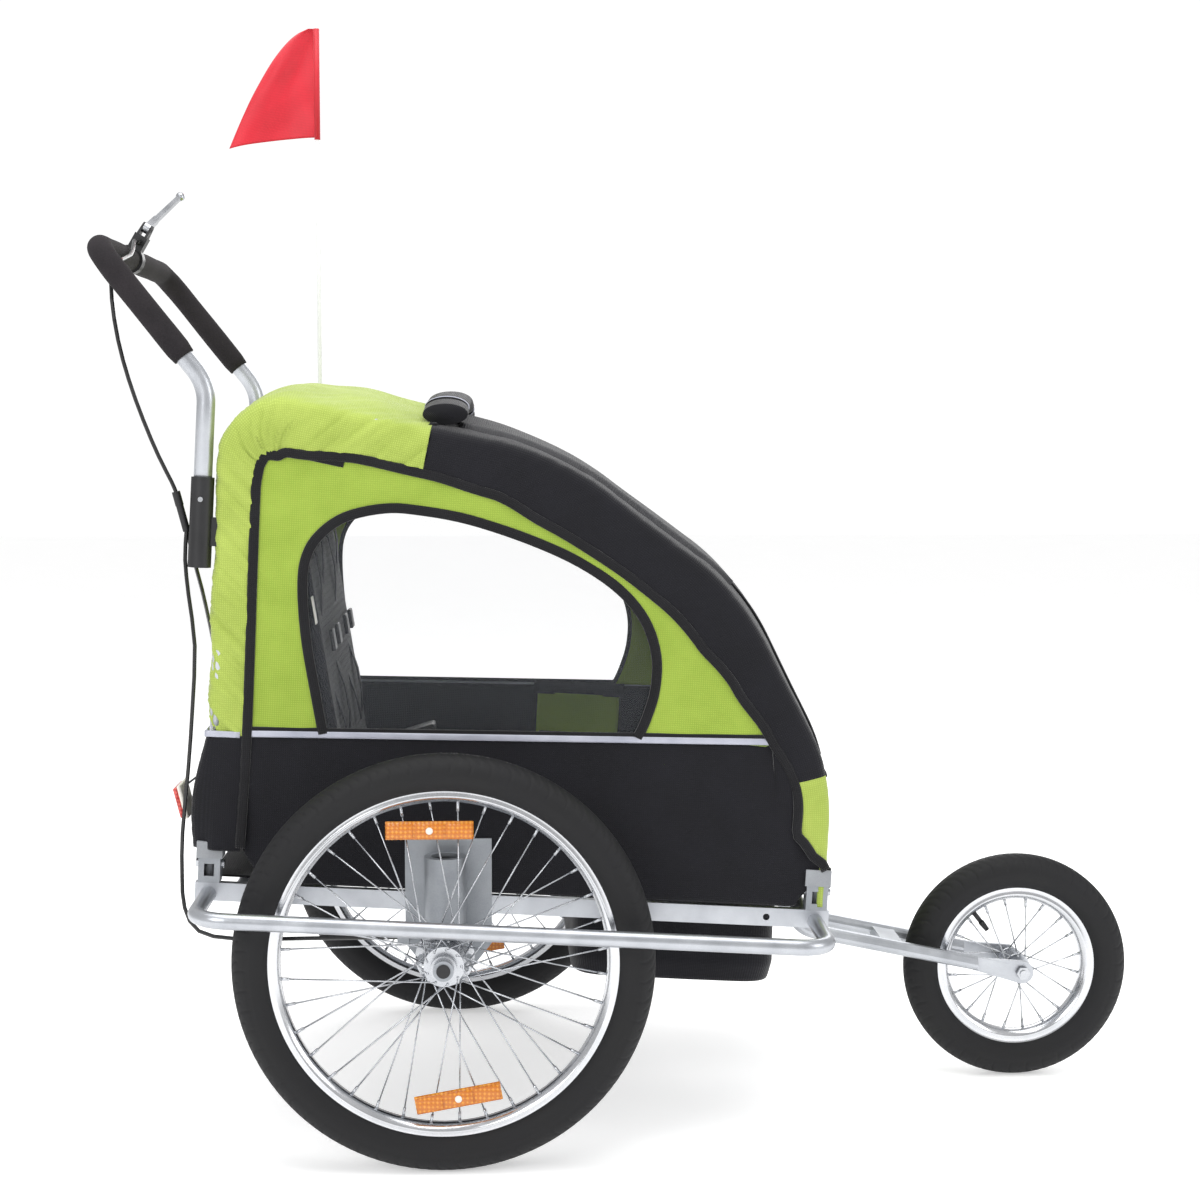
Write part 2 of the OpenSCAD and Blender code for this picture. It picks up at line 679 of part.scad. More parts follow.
module spokes(count, rim_d, flange_d, half_gap, lead) {
    hub_r = flange_d / 2 - 2.5;
    rim_r = rim_d / 2 - rim_depth - 0.5;
    beside = 1.5 + spoke_d / 2 + 1.4;
    for (k = [0:count - 1]) {
        side = k % 2 == 0 ? 1 : -1;
        way = floor(k / 2) % 2 == 0 ? 1 : -1;
        rim_a = 360 * (k + 0.5) / count;
        hub_a = rim_a + way * lead;
        hub_y = side * (half_gap + way * beside);
        rod([hub_r * cos(hub_a), hub_y, hub_r * sin(hub_a)],
            [rim_r * cos(rim_a), side * 3, rim_r * sin(rim_a)], spoke_d);
    }
}

module rear_wheel_at(side) { at_row() translate([0, side * track / 2, rear_r]) children(); }

module front_wheel_at() { at_row() translate([wheelbase, 0, front_r]) children(); }

module rear_tyre_right() { rear_wheel_at(-1) tyre(rear_tyre_d, rear_rim_d); }
module rear_tyre_left() { rear_wheel_at(1) tyre(rear_tyre_d, rear_rim_d); }
module rear_rim_right() { rear_wheel_at(-1) rim(rear_rim_d); }
module rear_rim_left() { rear_wheel_at(1) rim(rear_rim_d); }

module rear_spokes() {
    color("white") spokes(rear_spokes, rear_rim_d, hub_flange_d, hub_half_gap, 66);
}

module rear_spokes_right() { rear_wheel_at(-1) rear_spokes(); }
module rear_spokes_left() { rear_wheel_at(1) rear_spokes(); }

// hub with the notched brake ring on its inner end
module rear_hub(side) {
    inner = ring_y - track / 2;
    flange_t = 3;
    color("lightgray") on_side(side) translate([0, track / 2, 0]) about_y() difference() {
        union() {
            translate([0, 0, inner + ring_t]) cylinder(d = hub_barrel_d, h = hub_reach - inner - ring_t - 6);
            translate([0, 0, hub_reach - 6]) cylinder(d = axle_d + 12, h = 6);
            for (s = [-1, 1]) translate([0, 0, s * hub_half_gap - flange_t / 2])
                cylinder(d = hub_flange_d, h = flange_t);
            translate([0, 0, inner]) cylinder(d = 2 * notch_r + 14, h = ring_t);
        }
        translate([0, 0, inner - 1]) cylinder(d = axle_d + 2 * run_fit, h = hub_reach - inner + 2);
        for (a = [0:30:330]) rotate([0, 0, a]) translate([notch_r, 0, inner - 1])
            cylinder(d = brake_pin_d + 2, h = ring_t + 2);
    }
}

module rear_hub_right() { at_row() translate([0, 0, rear_r]) rear_hub(-1); }
module rear_hub_left() { at_row() translate([0, 0, rear_r]) rear_hub(1); }

// two amber reflectors clipped on the outside of the spokes
module reflectors(side) {
    size = [104, 5, 24];
    radius = 159;        // of the circle that both reflectors' middles lie on
    low_turn = 5.8;      // the lower one's place ahead of straight down, in degrees
    low_tilt = 4.2;      // its further tilt
    color([0.95, 0.6, 0.1]) at_row() on_side(side) translate([0, track / 2 + 12, rear_r]) {
        translate([-16, 0, radius] - size / 2 + [0, size[1] / 2, 0]) cube(size);
        rotate([0, -low_turn, 0]) translate([0, 0, -radius]) rotate([0, -low_tilt, 0])
            translate([-size[0] / 2, 0, -size[2] / 2]) cube(size);
    }
}

module reflectors_right() { reflectors(-1); }
module reflectors_left() { reflectors(1); }

module front_tyre() { front_wheel_at() tyre(front_tyre_d, front_rim_d); }
module front_rim() { front_wheel_at() rim(front_rim_d); }

module front_spokes() {
    color("white") front_wheel_at() spokes(front_spokes, front_rim_d, front_flange_d,
                                           front_half_gap, 58);
}

module front_hub() {
    half = fork_y - fork_d / 2 - 3;
    color("lightgray") front_wheel_at() about_y() difference() {
        union() {
            cylinder(d = 20, h = 2 * half, center = true);
            for (s = [-1, 1]) translate([0, 0, s * front_half_gap])
                cylinder(d = front_flange_d, h = 3, center = true);
        }
        cylinder(d = front_axle_d + 2 * run_fit, h = 2 * half + 2, center = true);
    }
}

module front_axle() {
    half = fork_y + 6;
    color("silver") front_wheel_at() about_y() {
        cylinder(d = front_axle_d, h = 2 * half + 16, center = true);
        for (s = [-1, 1]) translate([0, 0, s * (half + 2.5 + gap)])
            cylinder(d = 18, h = 5, center = true, $fn = 6);
    }
}

// two arms with flat dropouts, a bridge plate and a socket on the front cross tube
module fork() {
    drop_w = 30;
    drop_t = 7;
    bridge_l = 30;
    bridge_x = wheelbase - front_r - bridge_l / 2 - 8;
    root_d = fork_d + 4;
    root = [footwell_u[1] + 16, rail_up - (cross_d + root_d) / 2];
    root_x = root[0] * row_tilt[0] + root[1] * row_tilt[1];
    root_z = rear_r - root[0] * row_tilt[1] + root[1] * row_tilt[0];
    path = [[root_x, fork_y, root_z], [root_x + 26, fork_y, root_z - 44],
            [wheelbase - 20, fork_y, front_r + 4]];
    heading = unit(path[2] - path[1]);
    color("silver") at_row() {
        both_sides() {
            difference() {
                swept_rod(rounded(path, [0, 38, 0], 6), fork_d, 16);
                translate([wheelbase - 60, fork_y + 4, front_r - 30]) cube([60, 20, 60]);
                translate([wheelbase - 60, fork_y - 24, front_r - 30]) cube([60, 20, 60]);
            }
            difference() {
                hull() {
                    translate([wheelbase - 64, fork_y, path[2][2] + 8]) rotate([90, 0, 0])
                        cylinder(d = 16, h = drop_t, center = true);
                    translate([wheelbase, fork_y, front_r]) rotate([90, 0, 0])
                        cylinder(d = drop_w, h = drop_t, center = true);
                }
                translate([wheelbase, fork_y, front_r]) rotate([90, 0, 0])
                    cylinder(d = front_axle_d + 2 * run_fit, h = 12, center = true);
            }
        }
        translate([bridge_x, 0, path[1][2] + (bridge_x - path[1][0]) * heading[2] / heading[0]])
            rotate([0, 11, 0]) cube([bridge_l, 2 * fork_y - fork_d + 2, 12], center = true);
        translate([root_x, 0, root_z]) rotate([90, 0, 0])
            cylinder(d = root_d, h = 2 * fork_y + 44, center = true);
    }
}

// ---- soft parts ----

// outline of a side panel in the plane of the hoop, from the rail to the outside of the cover
module panel_outline() {
    path = rounded(on_hoop(hoop_pts, 0), hoop_bends, 8);
    h = headings(path);
    edge = [for (i = [0:len(path) - 1]) path[i] + cross(h[i], [0, 1, 0]) * (cover_out - gap)];
    rotate([90, 0, 0]) linear_extrude(fabric_t) difference() {
        polygon([for (q = edge) [q[0], q[2]]]);
        for (u = [-bolt_rear, bolt_front])
            translate([u - 30, rail_top - 1]) square([60, panel_low - rail_top + 1]);
        window_shape();
    }
}

module window_shape() {
    hull() {
        translate([-120, strip_w + 16]) circle(r = 8);
        translate([-105, strip_w + 215]) circle(r = 40);
        translate([20, strip_w + 232]) circle(r = 40);
        translate([190, strip_w + 110]) circle(r = 40);
        translate([210, strip_w + 16]) circle(r = 8);
    }
}

module side_panels() {
    color("yellowgreen") chassis() both_sides() translate([0, panel_y + fabric_t, 0])
        panel_outline();
}

module windows() {
    color([0.8, 0.85, 0.9, 0.4]) chassis() both_sides() translate([0, panel_y + fabric_t, 0])
        rotate([90, 0, 0]) linear_extrude(fabric_t / 2) window_shape();
}

// strip of cover across the trailer, outside the hoops; p holds [u, w] points
module cover_strip(p, r, half) {
    path = rounded(on_hoop(p, 0), r, 8);
    h = headings(path);
    out = [for (i = [0:len(path) - 1]) cross(h[i], [0, 1, 0])];
    inner = [for (i = [0:len(path) - 1]) path[i] + out[i] * cover_out];
    outer = [for (i = [0:len(path) - 1]) path[i] + out[i] * (cover_out + fabric_t)];
    rotate([90, 0, 0]) linear_extrude(2 * half, center = true)
        polygon([for (q = concat(inner, reversed(outer))) [q[0], q[2]]]);
}

module canopy() {
    p = [[-bolt_rear, strip_w + gap], [-bolt_rear, hoop_top], [split_u - gap, split_w]];
    color("yellowgreen") chassis() difference() {
        cover_strip(p, [0, 70, 0], panel_y - 0.1);
        both_sides() translate([-leg_u, hoop_y - 6, socket_low + 25]) cube([60, 12, 36]);
    }
}

module rear_panel() {
    half = hoop_y - bracket_w / 2 - 6;
    color([0.1, 0.1, 0.12]) chassis()
        translate([-bolt_rear - cover_out - fabric_t, -half, rail_top + 3])
        cube([fabric_t, 2 * half, strip_w - rail_top - 3]);
}

module front_cover() {
    p = [[split_u + gap, split_w], hoop_pts[2], hoop_pts[3], hoop_pts[4],
         [bolt_front, front_split_w]];
    color([0.1, 0.1, 0.12]) chassis() cover_strip(p, [0, 350, 280, 220, 0], panel_y - 0.1);
}

module front_panel() {
    half = hoop_y - bracket_w / 2 - 6;
    color("yellowgreen") chassis()
        translate([bolt_front + cover_out, -half, rail_top + 3])
        cube([fabric_t, 2 * half, front_split_w - rail_top - 4]);
}

module floor_tub() {
    half = hoop_y - bracket_w / 2 - 4;
    front = bolt_front + cover_out - 1;
    well_half = 190;
    wall = 2;
    length = footwell_u[1] - footwell_u[0];
    color([0.1, 0.1, 0.12]) chassis() difference() {
        union() {
            translate([-bolt_rear - cover_out + 1, -half, rail_top + gap])
                cube([front + bolt_rear + cover_out - 1, 2 * half, wall]);
            translate([footwell_u[0], -well_half, rail_top + gap - footwell_deep])
                cube([length, 2 * well_half, footwell_deep]);
        }
        translate([footwell_u[0] + wall, -well_half + wall, rail_top + gap - footwell_deep + wall])
            cube([length - 2 * wall, 2 * (well_half - wall), footwell_deep + wall]);
    }
}

module seat_base() {
    color([0.1, 0.1, 0.12]) chassis() translate([-140, -230, rail_top + seat_up])
        cube([270, 460, 30]);
}

module seat_back() {
    color([0.1, 0.1, 0.12]) chassis() translate([-142, -225, rail_top + seat_up + 2])
        rotate([0, -9, 0]) translate([-18, 0, 0]) cube([18, 450, 370]);
}

// rain cover rolled up across the top of the cover
module rain_roll() {
    roll_d = 27;
    wide = 26;
    up = cover_out + fabric_t + gap;
    color([0.1, 0.1, 0.12]) chassis() translate([split_u + 43, 0, split_w + brow_slope * 43])
        rotate([0, -atan(brow_slope), 0]) translate([0, 0, up + roll_d / 2]) rotate([90, 0, 0])
        linear_extrude(2 * hoop_y - 8, center = true) hull() {
            translate([-wide / 2, 0]) circle(d = roll_d);
            translate([wide / 2, 0]) circle(d = roll_d);
        }
}

module rear_reflector() {
    color("firebrick") chassis()
        translate([-bolt_rear - cover_out - fabric_t - 14, -232, rail_top + 72]) cube([14, 60, 42]);
}

module flag_pole() {
    foot_z = rear_r + 30;
    color("white") at_row() {
        translate([pole_x, pole_y, foot_z]) cylinder(d = pole_d, h = pole_tip - foot_z);
        difference() {
            translate([pole_x, pole_y, foot_z]) cylinder(d = pole_d + 7, h = 46);
            translate([pole_x - 20, 0, foot_z - 1]) cube([40, rail_out, 48]);
        }
    }
}

module flag() {
    sleeve_d = pole_d + 2;
    color("crimson") at_row() translate([pole_x, pole_y, pole_tip - 2 - flag_h]) {
        difference() {
            cylinder(d = sleeve_d, h = flag_h);
            translate([0, 0, -1]) cylinder(d = pole_d + 2 * run_fit, h = flag_h + 2);
        }
        rotate([90, 0, 0]) translate([0, 0, -0.6]) linear_extrude(1.2)
            polygon([[-sleeve_d / 2 + 0.3, 0], [-sleeve_d / 2 + 0.3, flag_h],
                     [-flag_w * 0.35, flag_h * 0.93], [-flag_w, flag_h * 0.12], [-flag_w * 0.6, 0]]);
    }
}

side_rails();
cross_tubes();
corner_brackets();
hinge_bolts();
lock_collar_rear_right();
lock_collar_rear_left();
lock_collar_front_right();
lock_collar_front_left();
guard_bars();
cover_hoops();
spreader_bars();
handle_sockets();
snap_button_right();
snap_button_left();
handle_tube();
handle_foam();
lever_clamp();
brake_lever();
brake_cable_main();
brake_cable_right();
brake_cable_left();
cable_splitter();
suspension_cylinders();
slider_right();
slider_left();
rubber_spring_right();
rubber_spring_left();
brake_pin_right();
brake_pin_left();
rear_tyre_right();
rear_tyre_left();
rear_rim_right();
rear_rim_left();
rear_spokes_right();
rear_spokes_left();
rear_hub_right();
rear_hub_left();
reflectors_right();
reflectors_left();
axle_button_right();
axle_button_left();
front_tyre();
front_rim();
front_spokes();
front_hub();
front_axle();
fork();
side_panels();
windows();
canopy();
rear_panel();
front_cover();
front_panel();
floor_tub();
seat_base();
seat_back();
rain_roll();
rear_reflector();
flag_pole();
flag();
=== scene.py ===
# Looks of a child bicycle trailer with a push handle and a front jogging wheel.
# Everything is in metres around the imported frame: +X forward, +Y left, +Z up.
import bpy, bmesh
import math, random
from mathutils import Matrix, Vector, noise


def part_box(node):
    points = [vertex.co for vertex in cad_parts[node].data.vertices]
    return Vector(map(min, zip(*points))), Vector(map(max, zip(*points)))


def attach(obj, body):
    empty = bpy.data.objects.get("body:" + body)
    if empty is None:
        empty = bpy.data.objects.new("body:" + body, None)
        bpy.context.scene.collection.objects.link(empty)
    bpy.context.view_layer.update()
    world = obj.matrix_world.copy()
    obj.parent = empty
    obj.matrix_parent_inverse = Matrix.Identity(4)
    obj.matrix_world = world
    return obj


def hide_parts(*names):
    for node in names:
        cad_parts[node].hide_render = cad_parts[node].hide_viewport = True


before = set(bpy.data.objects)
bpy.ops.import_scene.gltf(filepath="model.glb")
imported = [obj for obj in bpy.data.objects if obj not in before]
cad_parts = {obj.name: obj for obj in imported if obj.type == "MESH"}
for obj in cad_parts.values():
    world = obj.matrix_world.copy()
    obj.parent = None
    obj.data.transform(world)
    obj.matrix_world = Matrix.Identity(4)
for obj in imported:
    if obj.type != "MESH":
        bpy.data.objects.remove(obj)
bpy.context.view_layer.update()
mm = 0.001
scene = bpy.context.scene
sides = {"right": -1, "left": 1}


def middle(node):
    low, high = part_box(node)
    return (Vector(low) + Vector(high)) / 2


rearAxle = middle("rear_tyre_right")
frontAxle = middle("front_tyre")
nosePitch = math.radians(3.2)  # the chassis leans nose down on its small front wheel


def row(x, y, z):  # mm ahead of the rear axle, left of the middle, above the ground
    return Vector((rearAxle.x + x * mm, y * mm, z * mm))


def chassis(u, y, w):  # mm ahead of the rear axle, left of the middle, above the axle
    c, s = math.cos(nosePitch), math.sin(nosePitch)
    return Vector((rearAxle.x + (u * c + w * s) * mm, y * mm, rearAxle.z + (w * c - u * s) * mm))


# ---- view and light ----
view = {"place": (79.2, -2835.6, 876.7), "lens": 64.75, "turn": -2.37, "down": 4.7}
camera = bpy.data.objects.new("camera", bpy.data.cameras.new("camera"))
scene.collection.objects.link(camera)
camera.data.lens = view["lens"]
camera.data.sensor_width = 36
camera.location = row(*view["place"])
camera.rotation_euler = [math.radians(a) for a in (90 - view["down"], 0, view["turn"])]
camera.data.clip_start, camera.data.clip_end = 0.05, 60
scene.camera = camera

studio = {"sky": "#FFFFFF", "skyPower": 0.62, "backdropPower": 1.05, "floorGlow": 0.42}


def colour(hexCode):  # sRGB hex to the linear colour a shader wants
    parts = [int(hexCode[i:i + 2], 16) / 255 for i in (1, 3, 5)]
    return [p / 12.92 if p <= 0.04045 else ((p + 0.055) / 1.055) ** 2.4 for p in parts] + [1]


def addNode(tree, kind, settings=None, inputs=None):  # inputs: socket or value by input name
    made = tree.nodes.new(kind)
    for name, value in (settings or {}).items():
        setattr(made, name, value)
    for name, source in (inputs or {}).items():
        if isinstance(source, bpy.types.NodeSocket):
            tree.links.new(source, made.inputs[name])
        else:
            made.inputs[name].default_value = source
    return made


def areaLight(name, place, aim, size, power):
    lamp = bpy.data.objects.new(name, bpy.data.lights.new(name, "AREA"))
    scene.collection.objects.link(lamp)
    lamp.data.shape = "RECTANGLE"
    lamp.data.size, lamp.data.size_y = size
    lamp.data.energy = power
    lamp.location = place
    lamp.rotation_euler = (Vector(aim) - Vector(place)).to_track_quat("-Z", "Y").to_euler()


areaLight("overhead softbox", (-0.3, -0.4, 3.4), (0, 0, 0.5), (3.2, 2.6), 70)
areaLight("near softbox", (-2.2, -3.2, 2.2), (0, 0, 0.6), (1.8, 1.8), 45)
areaLight("front softbox", (3.2, -1.6, 1.8), (0, 0, 0.5), (1.6, 1.8), 28)
areaLight("back softbox", (0.5, 3.0, 2.0), (0, 0, 0.6), (2.4, 1.6), 30)
world = bpy.data.worlds.new("studio")
world.use_nodes = True
world.node_tree.nodes["Background"].inputs["Color"].default_value = colour(studio["sky"])
seen = addNode(world.node_tree, "ShaderNodeLightPath").outputs["Is Camera Ray"]
power = addNode(world.node_tree, "ShaderNodeMapRange", None,
                {"Value": seen, "To Min": studio["skyPower"], "To Max": studio["backdropPower"]})
world.node_tree.links.new(power.outputs["Result"], world.node_tree.nodes["Background"].inputs["Strength"])
scene.world = world
scene.view_settings.view_transform = "Standard"
print("view and light ready")


# ---- materials ----
def newMaterial(name, settings):
    material = bpy.data.materials.new(name)
    material.use_nodes = True
    surface = material.node_tree.nodes["Principled BSDF"]
    for socket, value in settings.items():
        surface.inputs[socket].default_value = colour(value) if isinstance(value, str) else value
    return material, material.node_tree, surface


def bumpFrom(tree, surface, height, depth, strength=1.0):  # depth in mm
    bump = addNode(tree, "ShaderNodeBump", None,
                   {"Height": height, "Distance": depth * mm, "Strength": strength})
    tree.links.new(bump.outputs["Normal"], surface.inputs["Normal"])
    return bump


def grained(name, settings, tones, grain, depth, spread, stretch=(1, 1, 1)):
    # a solid finish whose tone, gloss and surface vary with a grain size in mm
    material, tree, surface = newMaterial(name, settings)
    place = addNode(tree, "ShaderNodeTexCoord").outputs["Object"]
    place = addNode(tree, "ShaderNodeMapping", None, {"Vector": place, "Scale": stretch}).outputs["Vector"]
    fine = addNode(tree, "ShaderNodeTexNoise", None,
                   {"Vector": place, "Scale": 1 / (grain * mm), "Detail": 3.0}).outputs["Fac"]
    broad = addNode(tree, "ShaderNodeTexNoise", None,
                    {"Vector": place, "Scale": 1 / (grain * 40 * mm), "Detail": 4.0}).outputs["Fac"]
    blend = addNode(tree, "ShaderNodeMath", {"operation": "MULTIPLY_ADD"},
                    {0: fine, 1: 0.35, 2: addNode(tree, "ShaderNodeMath", {"operation": "MULTIPLY"},
                                                  {0: broad, 1: 0.65}).outputs[0]}).outputs[0]
    tint = addNode(tree, "ShaderNodeValToRGB", None, {"Fac": blend})
    tint.color_ramp.elements[0].position, tint.color_ramp.elements[1].position = 0.3, 0.7
    tint.color_ramp.elements[0].color = colour(tones[0])
    tint.color_ramp.elements[1].color = colour(tones[1])
    tree.links.new(tint.outputs["Color"], surface.inputs["Base Color"])
    rough = addNode(tree, "ShaderNodeMapRange", None,
                    {"Value": blend, "From Min": 0.3, "From Max": 0.7, "To Min": spread[0],
                     "To Max": spread[1]})
    tree.links.new(rough.outputs["Result"], surface.inputs["Roughness"])
    bumpFrom(tree, surface, fine, depth)
    return material


def woven(name, settings, tones, thread, depth, slub=0.5):
    # cloth on the piece's own UV map in metres; thread is the drawn spacing in mm
    material, tree, surface = newMaterial(name, settings)
    place = addNode(tree, "ShaderNodeUVMap", {"uv_map": "cloth"}).outputs["UV"]
    across = addNode(tree, "ShaderNodeTexWave", {"bands_direction": "X"},
                     {"Vector": place, "Scale": 0.314 / (thread * mm), "Distortion": slub}).outputs["Fac"]
    along = addNode(tree, "ShaderNodeTexWave", {"bands_direction": "Y"},
                    {"Vector": place, "Scale": 0.314 / (thread * mm), "Distortion": slub}).outputs["Fac"]
    weave = addNode(tree, "ShaderNodeMath", {"operation": "MULTIPLY"}, {0: across, 1: along}).outputs[0]
    cloudy = addNode(tree, "ShaderNodeTexNoise", None,
                     {"Vector": place, "Scale": 14.0, "Detail": 5.0, "Roughness": 0.6}).outputs["Fac"]
    mixed = addNode(tree, "ShaderNodeMath", {"operation": "MULTIPLY_ADD"},
                    {0: weave, 1: 0.45, 2: addNode(tree, "ShaderNodeMath", {"operation": "MULTIPLY"},
                                                   {0: cloudy, 1: 0.7}).outputs[0]}).outputs[0]
    tint = addNode(tree, "ShaderNodeValToRGB", None, {"Fac": mixed})
    tint.color_ramp.elements[0].position, tint.color_ramp.elements[1].position = 0.2, 0.75
    tint.color_ramp.elements[0].color = colour(tones[0])
    tint.color_ramp.elements[1].color = colour(tones[1])
    tree.links.new(tint.outputs["Color"], surface.inputs["Base Color"])
    bumpFrom(tree, surface, weave, depth)
    return material


# Anodised aluminium tube, drawn and satin: soft long highlights with faint streaks.
silverTube = grained("anodised aluminium tube", {"Metallic": 0.85}, ("#A9ACB2", "#C9CCD1"), 0.8, 0.02,
                     (0.28, 0.4))
# Aluminium rim, turned and polished: bright, with a machined brake track.
polishedRim = grained("polished aluminium rim", {"Metallic": 1.0}, ("#C2C4C8", "#DEDFE2"), 1.5, 0.01,
                      (0.12, 0.24))
# Grey die casting, tumbled: dull metal with a slight grit.
greyCasting = grained("tumbled zinc casting", {"Metallic": 0.55}, ("#8C9096", "#AEB2B7"), 1.2, 0.05,
                      (0.38, 0.55))
# Glass-filled nylon, moulded grey: matt with a faint grain.
greyNylon = grained("moulded grey nylon", {}, ("#8A8D92", "#A3A6AA"), 1.4, 0.05, (0.45, 0.6))
# Zinc-plated steel: bright and slightly cloudy.
brightSteel = grained("zinc plated steel", {"Metallic": 1.0}, ("#A6A9AE", "#D2D4D8"), 1.0, 0.015,
                      (0.16, 0.34))
# ABS, moulded black: fine spark grain and a low shine.
blackAbs = grained("moulded black abs", {"Coat Weight": 0.1}, ("#0E0E10", "#1C1C1F"), 1.0, 0.04, (0.38, 0.52))
# EVA foam sleeve, closed cell: dry, dark and finely pitted.
evaFoam = grained("closed cell eva foam", {"Specular IOR Level": 0.25}, ("#1B191B", "#332F32"), 1.6, 0.35,
                  (0.85, 0.97))
# PVC cable jacket: smooth black with a clear highlight.
cableJacket = grained("extruded pvc jacket", {"Coat Weight": 0.3}, ("#0C0C0D", "#171719"), 2.0, 0.02,
                      (0.25, 0.4))
# Solid rubber block, moulded: black and matt.
springRubber = grained("moulded rubber", {}, ("#121213", "#1E1E20"), 1.5, 0.06, (0.65, 0.8))
# Tyre rubber: matt black with a grey bloom left by the mould.
tyreRubber = grained("tyre rubber", {"Specular IOR Level": 0.4}, ("#0A0A0C", "#18181B"), 1.8, 0.08,
                     (0.6, 0.78))
# Fibreglass pole, pultruded white: faint long fibres.
poleGlass = grained("white fibreglass rod", {}, ("#DADCDC", "#F2F3F3"), 1.0, 0.02, (0.3, 0.42), (1, 1, 0.05))
# White nylon clip or cap: slightly creamy.
whiteNylon = grained("moulded white nylon", {}, ("#E6E2D8", "#F4F1E9"), 1.2, 0.03, (0.35, 0.5))


def prismatic(name, settings, tones):  # a moulded reflector: rows of small prisms under a smooth face
    material, tree, surface = newMaterial(name, settings)
    place = addNode(tree, "ShaderNodeTexCoord").outputs["Object"]
    cells = addNode(tree, "ShaderNodeTexVoronoi", {"feature": "F1", "distance": "MANHATTAN"},
                    {"Vector": place, "Scale": 1 / (5 * mm), "Randomness": 0.15}).outputs["Distance"]
    # painted glints: each prism cell is painted in the pale tone at its middle, fading to the deep tone at
    # its edges
    tint = addNode(tree, "ShaderNodeValToRGB", None, {"Fac": cells})
    tint.color_ramp.elements[0].color, tint.color_ramp.elements[1].color = colour(tones[1]), colour(tones[0])
    tint.color_ramp.elements[1].position = 0.9
    tree.links.new(tint.outputs["Color"], surface.inputs["Base Color"])
    bumpFrom(tree, surface, cells, 0.8)
    return material


# Acrylic reflector, moulded amber over prisms: glossy face, with its inner glitter painted as paler amber at
# each prism's middle.
amberLens = prismatic("amber acrylic reflector", {"Roughness": 0.15, "Coat Weight": 0.6},
                      ("#C86F06", "#FFB838"))
# Acrylic reflector, moulded red, with the same painted glitter: paler red at each prism's middle.
redLens = prismatic("red acrylic reflector", {"Roughness": 0.18, "Coat Weight": 0.6}, ("#A81414", "#F2685A"))

clothFinish = {"Roughness": 0.82, "Specular IOR Level": 0.3, "Sheen Weight": 0.25, "Sheen Roughness": 0.4}
# Polyester oxford, woven from thick yarn: matt with a small check of light and dark.
limeCloth = woven("lime polyester oxford", clothFinish, ("#95A848", "#B6C862"), 2.6, 0.35)
# the same lime oxford painted darker: painted shade for the side arches and the pockets inside
shadedLimeCloth = woven("lime polyester oxford painted shaded", clothFinish, ("#839C36", "#A3BA4C"), 2.6, 0.3)
blackCloth = woven("black polyester oxford", clothFinish, ("#0B0B10", "#17171E"), 2.6, 0.35)
# Grosgrain tape, woven in ribs, folded over the edges.
bindingTape = woven("black grosgrain binding", clothFinish, ("#0C0C0E", "#1D1D21"), 2.4, 0.5, 0.1)
# Polypropylene webbing, woven coarse.
webbing = woven("black polypropylene webbing", {"Roughness": 0.6, "Specular IOR Level": 0.4},
                ("#101013", "#2A2A30"), 3.0, 0.6, 0.1)
# Flag nylon, woven fine and coated: bright and a little glossy.
flagNylon = woven("red coated nylon", {"Roughness": 0.5, "Sheen Weight": 0.2}, ("#B80A20", "#DE1630"), 2.2,
                  0.1)
# Glass-bead tape: grey and faintly sparkling.
reflectiveTape = grained("glass bead reflective tape", {"Metallic": 0.3}, ("#9C9FAE", "#C4C6D2"), 0.9, 0.03,
                         (0.35, 0.5))
# Clear PVC film: nearly invisible, slightly blue, with soft glints.
clearPvc = grained("clear pvc film", {"Alpha": 0.018, "Coat Weight": 0.0}, ("#DCE4F0", "#F2F6FC"), 30, 0.3,
                   (0.04, 0.1))

slotFinish = {"silver_tube": silverTube, "grey_casting": greyCasting, "grey_plastic": greyNylon,
              "bright_steel": brightSteel, "black_plastic": blackAbs, "foam": evaFoam,
              "cable_jacket": cableJacket, "rubber": springRubber, "tyre": tyreRubber,
              "rim_alloy": polishedRim, "amber": amberLens, "green_cloth": limeCloth,
              "black_cloth": blackCloth, "clear_film": clearPvc, "red_lens": redLens,
              "pole": poleGlass, "flag_cloth": flagNylon}
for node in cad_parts.values():
    for held in node.material_slots:
        name = held.material.name.split(".")[0] if held.material else ""
        if name in slotFinish:
            held.material = slotFinish[name]
print("materials ready")


# ---- making pieces ----
def newPiece(name, bm, body, material, replaces=(), smooth=True, merge=True):
    if merge:
        bmesh.ops.remove_doubles(bm, verts=bm.verts, dist=0.00002)
        bmesh.ops.recalc_face_normals(bm, faces=bm.faces)
    mesh = bpy.data.meshes.new(name)
    bm.to_mesh(mesh)
    bm.free()
    for f in mesh.polygons:
        f.use_smooth = smooth
    for m in (material if isinstance(material, (list, tuple)) else [material]):
        mesh.materials.append(m)
    piece = bpy.data.objects.new(name, mesh)
    scene.collection.objects.link(piece)
    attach(piece, body)
    if replaces:
        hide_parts(*replaces)
    return piece


def circleFrames(points):  # a turned place for each point of a route, without twist
    frames, turned = [], None
    for i, p in enumerate(points):
        ahead = (points[min(i + 1, len(points) - 1)] - p)
        behind = (p - points[max(i - 1, 0)])
        heading = (ahead.normalized() + behind.normalized()).normalized()
        turned = heading.to_track_quat("Z", "Y") if turned is None else \
            (turned @ Vector((0, 0, 1))).rotation_difference(heading) @ turned
        frames.append(Matrix.Translation(p) @ turned.to_matrix().to_4x4())
    return frames


